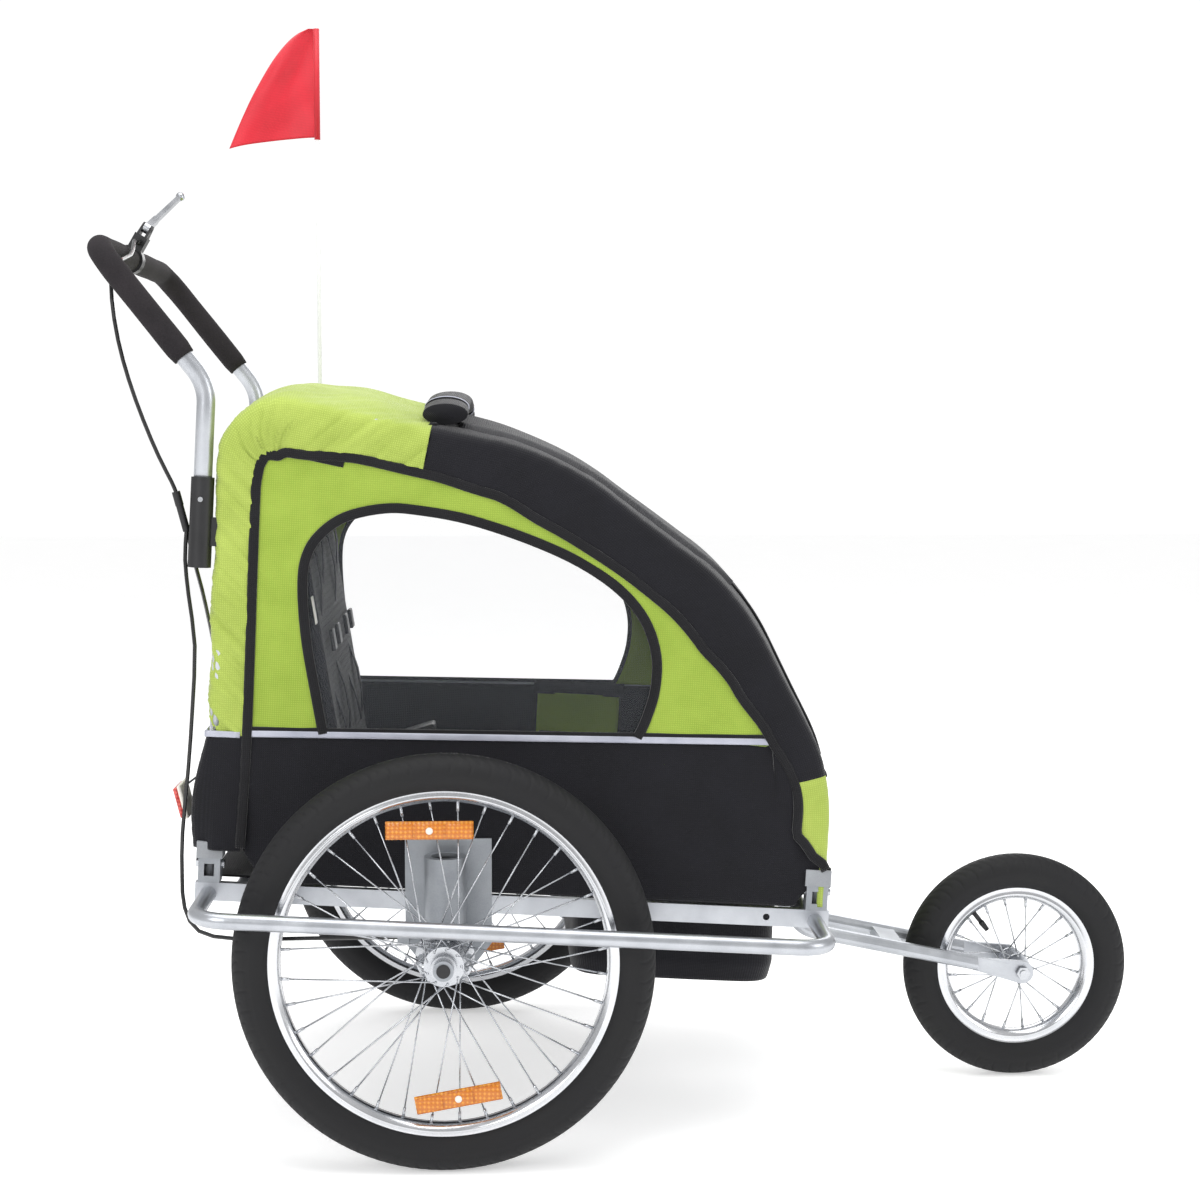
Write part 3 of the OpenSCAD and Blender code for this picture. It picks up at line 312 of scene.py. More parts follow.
def sweepRound(bm, points, radius, segments=16, caps=True, radii=None, shape=None):
    # a ring extruded from point to point; radii scale it, shape is its (x, y) stretch
    sizes = radii or [1.0] * len(points)
    flat = Matrix.Diagonal((*(shape or (1, 1)), 1, 1))
    places = [f @ flat @ Matrix.Scale(radius * k, 4) for f, k in zip(circleFrames(points), sizes)]
    ring = bmesh.ops.create_circle(bm, cap_ends=False, radius=1, segments=segments)["verts"]
    edges = list({e for v in ring for e in v.link_edges})
    bmesh.ops.transform(bm, matrix=places[0], verts=ring)
    first = edges
    for before, now in zip(places, places[1:]):
        grown = bmesh.ops.extrude_edge_only(bm, edges=edges)["geom"]
        edges = [g for g in grown if isinstance(g, bmesh.types.BMEdge)]
        moved = [g for g in grown if isinstance(g, bmesh.types.BMVert)]
        bmesh.ops.transform(bm, matrix=now @ before.inverted(), verts=moved)
    if caps:
        for loop in (first, edges):
            bmesh.ops.edgeloop_fill(bm, edges=loop)


def roundedPath(points, bends, steps=8):  # corners turned into arcs of the given radii, in metres
    path = [points[0]]
    for i in range(1, len(points) - 1):
        into = (points[i] - points[i - 1]).normalized()
        out = (points[i + 1] - points[i]).normalized()
        turn = into.angle(out)
        if bends[i] <= 0 or turn < 1e-4:
            path.append(points[i])
            continue
        start = points[i] - into * bends[i] * math.tan(turn / 2)
        inward = (out - into * into.dot(out)).normalized()
        turns = [turn * k / steps for k in range(steps + 1)]
        path += [start + bends[i] * (into * math.sin(a) + inward * (1 - math.cos(a))) for a in turns]
    return path + [points[-1]]


def smoothRoute(points, steps=6):  # a curve through the points of a cable's route
    out = []
    for i in range(len(points) - 1):
        a, b = points[max(i - 1, 0)], points[i]
        c, d = points[i + 1], points[min(i + 2, len(points) - 1)]
        out += [0.5 * (2 * b + (c - a) * t + (2 * a - 5 * b + 4 * c - d) * t * t
                       + (3 * b - a - 3 * c + d) * t ** 3) for t in (k / steps for k in range(steps))]
    return out + [points[-1]]


def spinProfile(bm, centre, profile, steps):  # profile: (mm along the axle, mm from it)
    points = [bm.verts.new(centre + Vector((r * mm, a * mm, 0))) for a, r in profile]
    edges = [bm.edges.new(pair) for pair in zip(points, points[1:])]
    bmesh.ops.spin(bm, geom=points + edges, cent=centre, axis=(0, 1, 0), angle=2 * math.pi,
                   steps=steps, use_merge=True)


def rodBetween(bm, a, b, radius, segments=8, radiusEnd=None):
    run = b - a
    place = Matrix.Translation((a + b) / 2) @ run.to_track_quat("Z", "Y").to_matrix().to_4x4()
    bmesh.ops.create_cone(bm, cap_ends=True, segments=segments, radius1=radius,
                          radius2=radius if radiusEnd is None else radiusEnd, depth=run.length, matrix=place)


def block(bm, place, size, bevel=0.0, segments=2):  # a box with rounded edges, sizes in mm
    made = bmesh.ops.create_cube(bm, size=1, matrix=place @ Matrix.Diagonal((*[s * mm for s in size],
                                                                             1)))["verts"]
    if bevel:
        bmesh.ops.bevel(bm, geom=list({e for v in made for e in v.link_edges}), offset=bevel * mm,
                        offset_type="OFFSET", segments=segments, affect="EDGES", profile=0.5, material=-1)


# ---- wheels ----
wheel = {"rearRadius": 247.5, "frontRadius": 150.0, "tyre": 23.5, "rearRim": 209.5, "frontRim": 108.0,
         "rimDepth": 19, "rimWidth": 26, "rearTread": 62, "frontTread": 38, "groove": 1.3}


def tyre(name, body, centre, outer, rim, blocks, node, steps):
    # round casing, bare side walls and a tread of curved scallops cut across the crown
    bm = bmesh.new()
    middleRadius = outer - wheel["tyre"]
    around = 44
    points = []
    for k in range(around + 1):
        turn = math.radians(-146) + math.radians(292) * k / around
        points.append((wheel["tyre"] * math.sin(turn), middleRadius + wheel["tyre"] * math.cos(turn)))
    points += [(points[-1][0] - 2, rim - 4), (points[0][0] + 2, rim - 4), points[0]]
    spinProfile(bm, centre, points, steps)
    bmesh.ops.remove_doubles(bm, verts=bm.verts, dist=0.00005)
    pitchAngle = 2 * math.pi / blocks
    for v in bm.verts:
        out = v.co - centre
        radius = math.hypot(out.x, out.z)
        turn = math.atan2(out.y, radius - middleRadius * mm)
        if abs(turn) > math.radians(88):
            continue
        along = math.atan2(out.z, out.x) / pitchAngle
        lean = abs(turn) / math.radians(80)
        side = 0.5 if turn > 0 else 0.0
        dip = 0.0
        for sweep in (0.0, 0.5):
            phase = (along + side + sweep + 0.9 * math.sin(lean * math.pi * 0.62)) % 1.0
            near = min(phase, 1 - phase) * pitchAngle * outer
            if 0.12 < lean < (1.0 if sweep == 0.0 else 0.62):
                dip = max(dip, 1 - near / 2.2)
        if lean < 0.07:
            dip = max(dip, 0.8)
        if 0.93 < lean < 1.0:
            dip = max(dip, 0.5)
        if dip > 0:
            inward = Vector((out.x, 0, out.z)).normalized() * math.cos(turn) + Vector((0, math.sin(turn), 0))
            v.co -= inward * dip * wheel["groove"] * mm
    newPiece(name, bm, body, tyreRubber, [node])


def rim(name, body, centre, outer, node, steps):
    # double-wall section: two flanges, brake tracks and a shallow well for the spokes
    w, d = wheel["rimWidth"] / 2, wheel["rimDepth"]
    profile = [(-w, outer), (-w + 1.6, outer + 0.4), (-w + 2.4, outer - 1.5), (-w + 2.2, outer - 5),
               (-w + 6, outer - 7),
               (0, outer - 8.5), (w - 6, outer - 7), (w - 2.2, outer - 5), (w - 2.4, outer - 1.5),
               (w - 1.6, outer + 0.4), (w, outer), (w, outer - 1), (w - 0.7, outer - 2), (w - 0.7,
                                                                                          outer - 9.5),
               (w, outer - 10.5), (w - 0.6, outer - 12), (w - 5, outer - d + 2), (w - 8, outer - d + 0.3),
               (0, outer - d), (-w + 8, outer - d + 0.3), (-w + 5, outer - d + 2), (-w + 0.6, outer - 12),
               (-w, outer - 10.5), (-w + 0.7, outer - 9.5), (-w + 0.7, outer - 2), (-w, outer - 1), (-w,
                                                                                                     outer)]
    bm = bmesh.new()
    spinProfile(bm, centre, profile, steps)
    newPiece(name, bm, body, polishedRim, [node])


def spokes(name, body, centre, count, rimInside, flange, halfGap, crossing, node):
    # laced spokes: hooked into one flange and then the other, with a nipple at the rim
    bm = bmesh.new()
    for k in range(count):
        side = 1 if k % 2 else -1
        lead = 1 if (k // 2) % 2 else -1
        rimTurn = 2 * math.pi * (k + 0.5) / count
        hubTurn = rimTurn + lead * math.radians(crossing)
        hubEnd = centre + Vector((math.cos(hubTurn) * flange, side * (halfGap + 1.2 * lead),
                                  math.sin(hubTurn) * flange)) * mm
        rimEnd = centre + Vector((math.cos(rimTurn) * rimInside, side * 3,
                                  math.sin(rimTurn) * rimInside)) * mm
        run = (rimEnd - hubEnd).normalized()
        rodBetween(bm, hubEnd, rimEnd, 1.0 * mm, 6)
        rodBetween(bm, rimEnd - run * 11 * mm, rimEnd + run * 0.5 * mm, 1.9 * mm, 8)
        rodBetween(bm, hubEnd - Vector((0, side * 2.2 * mm, 0)), hubEnd + Vector((0, side * 1.6 * mm, 0)),
                   1.6 * mm, 8)
    newPiece(name, bm, body, brightSteel, [node], merge=False)


def reflectorPair(name, body, wheelCentre, side, nodes):
    # amber plates with sloped ends, a raised frame and a round clip in the middle
    bm = bmesh.new()
    clips = bmesh.new()
    for upDown, turn, tilt in ((1, 0.0, 0.0), (-1, 5.8, 10.0)):
        spot = Vector((-16 if upDown > 0 else 16, side * 14.5, 159 * upDown)) * mm
        spot = wheelCentre + (spot if upDown > 0 else Vector((16, side * 14.5, -158)) * mm)
        place = Matrix.Translation(spot) @ Matrix.Rotation(-math.radians(tilt), 4, "Y")
        plate = bmesh.ops.create_cube(bm, size=1, matrix=place @ Matrix.Diagonal((0.103, 0.0042, 0.0225,
                                                                                  1)))["verts"]
        for v in plate:
            local = place.inverted() @ v.co
            if abs(local.x) > 0.05 and local.y * side > 0:
                local.x *= 0.965
                local.z *= 0.88
            v.co = place @ local
        bmesh.ops.bevel(bm, geom=list({e for v in plate for e in v.link_edges}), offset=0.0012, segments=2,
                        affect="EDGES", profile=0.5, material=-1)
        for x, w in ((-34, 30), (34, 30), (0, 34)):
            block(bm, place @ Matrix.Translation((x * mm, side * 2.4 * mm, 0)), (w, 1.6, 17), 0.5)
        block(bm, place @ Matrix.Translation((0, side * 3.2 * mm, 0)), (30, 1.0, 2.4), 0.3)
        rodBetween(clips, place @ Vector((0, side * 1.5 * mm, 0)), place @ Vector((0, side * 4.6 * mm, 0)),
                   4.6 * mm, 20, 3.9 * mm)
        rodBetween(clips, place @ Vector((0, -side * 8 * mm, 0)), place @ Vector((0, side * 1.5 * mm, 0)),
                   2.4 * mm, 12)
        block(clips, place @ Matrix.Translation((0, -side * 7 * mm, 0)), (22, 2.5, 8), 0.8)
    newPiece(name, bm, body, amberLens, nodes)
    newPiece(name + ".clips", clips, body, whiteNylon)


for side, sign in sides.items():
    hub = middle("rear_tyre_" + side)
    body = "rear_wheel_" + side
    tyre("rearTyre." + side, body, hub, wheel["rearRadius"], wheel["rearRim"], wheel["rearTread"],
         "rear_tyre_" + side, 992)
    rim("rearRim." + side, body, hub, wheel["rearRim"], "rear_rim_" + side, 144)
    spokes("rearSpokes." + side, body, hub, 36, wheel["rearRim"] - wheel["rimDepth"] + 1, 20.5, 20, 57,
           "rear_spokes_" + side)
    reflectorPair("reflectors." + side, body, hub, sign, ["reflectors_" + side])
tyre("frontTyre", "front_wheel", frontAxle, wheel["frontRadius"], wheel["frontRim"], wheel["frontTread"],
     "front_tyre", 608)
rim("frontRim", "front_wheel", frontAxle, wheel["frontRim"], "front_rim", 112)
spokes("frontSpokes", "front_wheel", frontAxle, 20, wheel["frontRim"] - wheel["rimDepth"] + 1, 14.5, 18, 42,
       "front_spokes")
bm = bmesh.new()  # valve with its cap, standing in from the front rim
valve = frontAxle + Vector((-math.cos(0.9), 0, math.sin(0.9))) * (wheel["frontRim"] - 19) * mm
inward = (frontAxle - valve).normalized()
rodBetween(bm, valve - inward * 0.004, valve + inward * 0.016, 3.2 * mm, 12)
rodBetween(bm, valve + inward * 0.016, valve + inward * 0.03, 4.0 * mm, 12, 3.2 * mm)
newPiece("frontValve", bm, "front_wheel", blackAbs)
print("wheels made")


# ---- tubes ----
hoopLine = [(-288, 69), (-288, 646), (95, 590), (322, 437), (445, 227), (445, 69)]
hoopBends = [0, 70, 350, 280, 220, 0]
handle = {"leg": 316, "half": 258, "elbow": 657, "gripBack": 454, "gripUp": 813, "socketLow": 441,
          "tube": 22, "foam": 30, "foamStart": 0.2}


def hoopPath(y, out=0.0, steps=10):  # the hoop's line in the frame, grown outward by mm
    path = roundedPath([Vector((u, 0, w)) for u, w in hoopLine], hoopBends, steps)
    grown = []
    for i, p in enumerate(path):
        heading = (path[min(i + 1, len(path) - 1)] - path[max(i - 1, 0)]).normalized()
        grown.append(p + heading.cross(Vector((0, 1, 0))) * -out)
    return grown


def pipe(name, points, radius, body, slot, material, replaces=(), segments=20, **more):
    bm = bmesh.new()
    sweepRound(bm, points, radius * mm, segments, **more)
    return newPiece(name, bm, body, material, replaces)


bm = bmesh.new()
for sign in sides.values():
    sweepRound(bm, [chassis(p.x, sign * 258, p.z) for p in hoopPath(0)], 8 * mm, 16)
newPiece("coverHoops", bm, "root", silverTube, ["cover_hoops"])

legLine = [(-handle["leg"], handle["socketLow"] + 6), (-handle["leg"], handle["elbow"]),
           (-handle["gripBack"], handle["gripUp"])]
rightLeg = [chassis(u, -handle["half"], w) for u, w in legLine]
leftLeg = [chassis(u, handle["half"], w) for u, w in legLine]
handleLine = roundedPath([rightLeg[0], rightLeg[1], rightLeg[2], leftLeg[2], leftLeg[1], leftLeg[0]],
                         [0, 0.06, 0.045, 0.045, 0.06, 0], 10)
pipe("handleTube", handleLine, handle["tube"] / 2, "root", "silver_tube", silverTube, ["handle_tube"], 24)
foamFrom = handle["foamStart"]
foamRight = rightLeg[1].lerp(rightLeg[2], foamFrom)
foamLeft = leftLeg[1].lerp(leftLeg[2], foamFrom)
foamLine = roundedPath([foamRight, rightLeg[2], leftLeg[2], foamLeft], [0, 0.045, 0.045, 0], 12)
dense = []
for a, b in zip(foamLine, foamLine[1:]):
    parts = max(1, round((b - a).length / 0.012))
    dense += [a.lerp(b, k / parts) for k in range(parts)]
dense.append(foamLine[-1])
random.seed(4)
swell = [1 + 0.012 * math.sin(i * 0.7) + random.uniform(-0.006, 0.006) for i in range(len(dense))]
swell[0] = swell[-1] = 0.9
pipe("handleFoam", dense, handle["foam"] / 2, "root", "foam", evaFoam, ["handle_foam"], 28, radii=swell)
print("tubes made")


# ---- cloth ----
cover = {"outside": 10.5, "sideY": 268.6, "gather": 6.5, "fold": (13, 130), "pleat": (6.5, 60), "thick": 1.2,
         # distance along a hoop in mm, and how far in from it the side binding runs
         "binding": [(0, 36), (174, 38), (470, 36), (520, 42), (566, 54), (616, 52), (700, 43), (780, 45),
                     (860, 52),
                     (945, 61), (1080, 54), (1215, 58), (1290, 46), (1355, 37), (1450, 28), (1500,
                                                                                             30), (1521, 14),
                     (1542, -8), (1640, -8)],
         # how far the cloth bulges outward half way between the hoops
         "crown": [(0, 0), (174, 3), (420, 7), (540, 14), (616, 25), (700, 29), (780, 24), (945, 15),
                   (1215, 17),
                   (1355, 12), (1450, 5), (1500, 0), (1640, 0)],
         "flapFrom": 36, "stripAt": 174, "splitAt": 775, "frontAt": 1432, "endAt": 1590}
hoop = hoopPath(0, 0, 24)
hoopRun = [0.0]
for a, b in zip(hoop, hoop[1:]):
    hoopRun.append(hoopRun[-1] + (b - a).length)


def fromTable(table, x):  # eased steps between the rows
    for (x0, y0), (x1, y1) in zip(table, table[1:]):
        if x <= x1:
            k = max(0.0, (x - x0) / (x1 - x0))
            return y0 + (y1 - y0) * k * k * (3 - 2 * k)
    return table[-1][1]


def onHoop(run):  # point and outward direction at a distance along the hoop
    for i in range(1, len(hoop)):
        if run <= hoopRun[i] or i == len(hoop) - 1:
            k = (run - hoopRun[i - 1]) / (hoopRun[i] - hoopRun[i - 1])
            before = (hoop[i] - hoop[i - 1]).normalized()
            after = (hoop[min(i + 1, len(hoop) - 1)] - hoop[i]).normalized() if i < len(hoop) - 1 else before
            first = (hoop[i - 1] - hoop[max(i - 2, 0)]).normalized() if i > 1 else before
            heading = ((first + before) * (1 - k) + (before + after) * k).normalized()
            return hoop[i - 1].lerp(hoop[i], k), heading.cross(Vector((0, 1, 0)))


def bindingAt(run):
    p, out = onHoop(run)
    return p - out * fromTable(cover["binding"], run)


def clothGrid(name, columns, rows, place, material, replaces=(), thick=1.2, body="root"):
    # a sheet: grid squares sent to their place by place(s, t), which also gives the cloth's own mm
    bm = bmesh.new()
    bmesh.ops.create_grid(bm, x_segments=columns, y_segments=rows, size=0.5)
    uv = bm.loops.layers.uv.new("cloth")
    own = {}
    for v in bm.verts:
        spot, flat = place(v.co.x + 0.5, v.co.y + 0.5)
        v.co = spot
        own[v] = (flat[0] * mm, flat[1] * mm)
    for f in bm.faces:
        for corner in f.loops:
            corner[uv].uv = own[corner.vert]
    bmesh.ops.recalc_face_normals(bm, faces=bm.faces)
    piece = newPiece(name, bm, body, material, replaces, merge=False)
    if thick:
        shell = piece.modifiers.new("thickness", "SOLIDIFY")
        shell.thickness, shell.offset, shell.use_even_offset = thick * mm, 0, False
    return piece


def coverBand(name, start, end, columns, material, replaces, gather=0.0, flare=0.0):
    # cloth over both hoops between two distances along them, turned in to the side bindings
    half, edge = 258, 0.30  # half the hoops' spacing, and the share of the sheet each side takes
    (wide, tall), (fine, short) = cover["fold"], cover["pleat"]

    def place(s, t):
        run = start + (end - start) * s
        p, out = onHoop(run)
        v = 2 * t - 1
        side, a = (1 if v > 0 else -1), abs(v)
        crown = fromTable(cover["crown"], run)
        reach = cover["outside"] + flare * math.sin(math.pi * min(1, (end - run) / (end - start) * 0.75))
        inset = fromTable(cover["binding"], run)
        if a <= 1 - edge:  # across the top
            k = a / (1 - edge)
            y, grow = half * k, reach + crown * math.cos(k * math.pi / 2) ** 0.75
            across = half * k
        elif a <= 1 - edge + 0.06:  # round the hoop
            turn = (a - 1 + edge) / 0.06 * math.pi / 2
            y, grow = half + (cover["sideY"] - half) * math.sin(turn), reach * math.cos(turn)
            across = half + 16 * turn / 1.57
        else:  # down the side to the binding
            k = (a - 1 + edge - 0.06) / (edge - 0.06)
            y, grow = cover["sideY"] + 2.2 * math.sin(k * math.pi), -inset * k
            # the flap's foot stands clear of the collars
            y += (7 if flare else 0) * max(0.0, 1 - (run - start) / 80)
            across = half + 16 + inset * k
        fold = 0.0
        if gather:
            near = max(0.0, a - (1 - edge) * 0.55) / (1 - (1 - edge) * 0.55)
            slant = run + side * 4 + (across - half) * 0.9
            fold = gather * near * (noise.noise(Vector((slant / wide, across / tall, 7 * side)))
                                    + 0.6 * noise.noise(Vector((slant / fine, across / short, 3 + side))))
            fold += gather * 0.9 * noise.noise(Vector((run / 70, across * side / 110, 11)))
        else:
            fold = 1.1 * noise.noise(Vector((run / 55, across * side / 90, 5))) * min(1, (1 - a) * 8 + 0.4)
        if a <= 1 - edge + 0.03:
            grow += fold
        else:
            y += fold * (1 - 0.75 * max(0.0, (a - 0.9) / 0.1))
        spot = p + out * grow
        return chassis(spot.x, side * y if a > 0 else 0, spot.z), (run, across * side)

    return clothGrid(name, columns, 96, place, material, replaces, cover["thick"])



rearFlap = coverBand("rearFlap", cover["flapFrom"], cover["stripAt"], 26, blackCloth,
                     ["rear_panel"], 1.5, 14)
rearCover = coverBand("rearCover", cover["stripAt"], cover["splitAt"], 210, limeCloth,
                      ["canopy"], cover["gather"])
frontCover = coverBand("frontCover", cover["splitAt"], cover["frontAt"], 190, blackCloth,
                       ["front_cover"], 1.3)
frontPanel = coverBand("frontPanel", cover["frontAt"], cover["endAt"], 26, limeCloth,
                       ["front_panel"], 0.8)

# side panels: a lime arch round the window, in lime painted darker as painted shade, black below the
# reflective strip
panel = {"strip": ((-250, 246), (404, 268)), "foot": 67, "front": [(404, 268), (412, 190), (417, 160),
                                                                   (433, 138), (462, 112)],
         "window": [(-160, 250), (-172, 302), (-185, 362), (-192, 421), (-190, 458), (-176, 486),
                    (-146, 510), (-100, 523),
                    (-58, 523), (2, 515), (75, 495), (136, 471), (185, 441), (217, 406), (233, 365), (234,
                                                                                                      323),
                    (225, 286), (216, 264)]}
windowCurve = smoothRoute([Vector((u, 0, w)) for u, w in panel["window"]], 5)
bindingFrom, bindingTo = 177, 1382


def alongCurve(curve, s):
    runs = [0.0]
    for a, b in zip(curve, curve[1:]):
        runs.append(runs[-1] + (b - a).length)
    aim = s * runs[-1]
    for i in range(1, len(curve)):
        if aim <= runs[i]:
            return curve[i - 1].lerp(curve[i], (aim - runs[i - 1]) / max(1e-9, runs[i] - runs[i - 1]))
    return curve[-1].copy()


def stripAt(u):
    (u0, w0), (u1, w1) = panel["strip"]
    return w0 + (w1 - w0) * (u - u0) / (u1 - u0)


archOuter = [bindingAt(bindingFrom + (bindingTo - bindingFrom) * k / 240) for k in range(241)]
archOuter[0].z, archOuter[-1].z = stripAt(archOuter[0].x), stripAt(archOuter[-1].x)


def panelWave(u, w):  # slack and pulls in the side cloth, in mm
    return (2.2 * noise.noise(Vector((u / 120, w / 150, 2))) + 0.9 * noise.noise(Vector((u / 34, w / 60, 8))))


for side, sign in sides.items():
    def archPlace(s, t):
        inner, outer = alongCurve(windowCurve, s), alongCurve(archOuter, s)
        p = inner.lerp(outer, t)
        bulge = math.sin(math.pi * t) * (1.5 + panelWave(p.x, p.z))
        patch = 0.6 + noise.noise(Vector((p.x / 40, p.z / 40, 1)))
        bulge += 1.0 * math.sin(p.x / 9 + p.z / 14) * max(0.0, t - 0.55) * patch
        return chassis(p.x, sign * (267.2 + bulge), p.z), (p.x, p.z)

    def lowerPlace(s, t):
        u = -252 + 712 * s
        low = panel["foot"] + 44 * max(0.0, 1 - (u + 252) / 36) ** 1.5 + 50 * max(0.0, (u - 418) / 42) ** 0.8
        high = stripAt(u) if u < 404 else fromTable(panel["front"], u)
        w = low + (high - low) * t
        bulge = math.sin(math.pi * t) * (2.0 + 1.6 * panelWave(u * 1.4, w * 0.8))
        return chassis(u, sign * (266.6 + bulge), w), (u, w)

    def filmPlace(s, t):
        top = alongCurve(windowCurve, s)
        u = -160 + 376 * s
        p = Vector((u, 0, stripAt(u))).lerp(top, t)
        slack = noise.noise(Vector((p.x / 90 - p.z / 60, p.z / 130, 4)))
        bulge = 3.0 * math.sin(math.pi * t) * math.sin(math.pi * s) + 1.6 * slack
        return chassis(p.x, sign * (266.4 + bulge), p.z), (p.x, p.z)

    # the arch takes the lime cloth painted darker, as painted shade on the side
    arch = clothGrid("sideArch." + side, 150, 16, archPlace, shadedLimeCloth,
                     ["side_panels"] if side == "right" else (), 1.1)
    lower = clothGrid("sideLower." + side, 120, 26, lowerPlace, blackCloth, (), 1.1)
    film = clothGrid("windowFilm." + side, 56, 28, filmPlace, clearPvc,
                     ["windows"] if side == "right" else (), 0.5)
print("cloth hung")


def tape(name, points, wide, thick, slot, material, normal, body="root", replaces=(), closed=False):
    # a flat woven tape laid along points: wide and thick in mm, its face turned to normal
    bm = bmesh.new()
    uv = bm.loops.layers.uv.new("cloth")
    profile = [(-0.5, -0.5), (-0.42, 0.3), (-0.2, 0.5), (0.2, 0.5), (0.42, 0.3), (0.5, -0.5)]
    rows, run = [], 0.0
    ring = None
    for i, p in enumerate(points):
        ahead = (points[min(i + 1, len(points) - 1)] - points[max(i - 1, 0)]).normalized()
        across = ahead.cross(normal).normalized()
        up = across.cross(ahead).normalized()
        spots = [p + (across * a * wide + up * b * thick) * mm for a, b in profile]
        if ring is None:
            ring = [bm.verts.new(q) for q in spots]
            edges = [bm.edges.new((a, b)) for a, b in zip(ring, ring[1:] + ring[:1])]
            first = edges
        else:
            grown = bmesh.ops.extrude_edge_only(bm, edges=edges)["geom"]
            edges = [g for g in grown if isinstance(g, bmesh.types.BMEdge)]
            moved = [g for g in grown if isinstance(g, bmesh.types.BMVert)]
            # each new vertex is the nearest old one's, so it goes to its place in the profile
            for v in moved:
                k = min(range(len(profile)), key=lambda j: (v.co - rows[-1][j]).length)
                v.co = spots[k]
        rows.append([q.copy() for q in spots])
    for loop in (first, edges):
        bmesh.ops.edgeloop_fill(bm, edges=loop)
    bmesh.ops.recalc_face_normals(bm, faces=bm.faces)
    runs = [0.0]
    for a, b in zip(points, points[1:]):
        runs.append(runs[-1] + (b - a).length)
    flat = {}
    for row, r in zip(rows, runs):
        for j, q in enumerate(row):
            flat[tuple(round(c, 6) for c in q)] = (r, profile[j][0] * wide * mm)
    for f in bm.faces:
        for corner in f.loops:
            corner[uv].uv = flat.get(tuple(round(c, 6) for c in corner.vert.co), (0, 0))
    return newPiece(name, bm, body, material, replaces, merge=False)


outward = Vector((0, 1, 0))
crownY = range(-252, 253, 8)  # places across the cover in mm
trims = {  # material and slot of each kind of trim
    "binding": ("black_cloth", bindingTape), "reflective": ("grey_plastic", reflectiveTape),
    "cloth": ("black_cloth", blackCloth), "ribbed": ("black_cloth", webbing)}
for side, sign in sides.items():
    line = [bindingAt(r) for r in range(40, 1545, 8)]
    clear = [max(0.0, 1 - k / 10) * 7 + max(0.0, (k - 175) / 12) * 4 for k in range(len(line))]
    rows = [-248 + 8 * k for k in range(82)]
    # name: points, width and thickness in mm, and the kind of trim
    laid = {
        "coverBinding": ([(p.x, 270.6 + c, p.z) for p, c in zip(line, clear)], 12, 2.6, "binding"),
        "windowBinding": ([(p.x, 269.2, p.z) for p in windowCurve], 12.5, 3.0, "binding"),
        "reflectiveStrip": ([(u, 269.4, stripAt(u)) for u in rows], 8.5, 1.4, "reflective"),
        "stripHem": ([(u, 269.0, stripAt(u) + 6) for u in rows], 5, 1.4, "binding"),
        "stripRear": ([(u, 270.2, 244) for u in range(-300, -252, 6)], 8, 1.4, "reflective"),
        "velcroTab": ([(u, 268.9, 583 - (u + 215) * 0.16) for u in range(-214, -148, 8)], 9, 2.2, "binding"),
        "frontStrap": ([(391 + k * 1.4, 269.4, 262 - k * 11) for k in range(9)], 24, 2.0, "cloth")}
    for name, (points, wide, thick, trim) in laid.items():
        tape(name + "." + side, [chassis(u, sign * y, w) for u, y, w in points], wide, thick, *trims[trim],
             outward * sign)


def onCover(run, y, lift=1.5):  # a place on top of the cover, between the hoops
    p, out = onHoop(run)
    crown = fromTable(cover["crown"], run) * math.cos(y / 258 * math.pi / 2) ** 0.75
    spot = p + out * (cover["outside"] + lift + crown)
    return chassis(spot.x, y, spot.z)


# ribbed zip strips along both edges of the front cover
for side, sign in sides.items():
    tape("zipStrip." + side, [onCover(r, sign * 226) for r in range(806, 1190, 8)], 26, 2.4,
         *trims["ribbed"], Vector((0.3, sign * 0.45, 1)))
    tape("zipEdge." + side, [onCover(r, sign * 208, 2.2) for r in range(800, 1424, 8)], 5, 2.4,
         *trims["binding"], Vector((0.3, sign * 0.35, 1)))
# seams across the cover: distance along the hoop, lift, width, thickness, kind and the way it faces
seams = {"splitSeam": (cover["splitAt"], 1.2, 11, 2.4, "binding", (-0.1, 0, 1)),
         "frontHem": (cover["frontAt"], 1.2, 9, 2.4, "binding", (1, 0, 0.3)),
         "flapSeam": (cover["stripAt"], 0.8, 8, 2.2, "reflective", (-1, 0, 0)),
         "flapHem": (cover["flapFrom"] + 1, 0.6, 11, 2.4, "binding", (-1, 0, 0))}
for name, (run, lift, wide, thick, trim, facing) in seams.items():
    tape(name, [onCover(run, y, lift) for y in crownY], wide, thick, *trims[trim], Vector(facing))

# ---- seat, footwell and what hangs inside ----
seat = {"base": ((-138, 128), 224, (146, 172)), "back": 370, "lean": 9, "puff": 4.0}


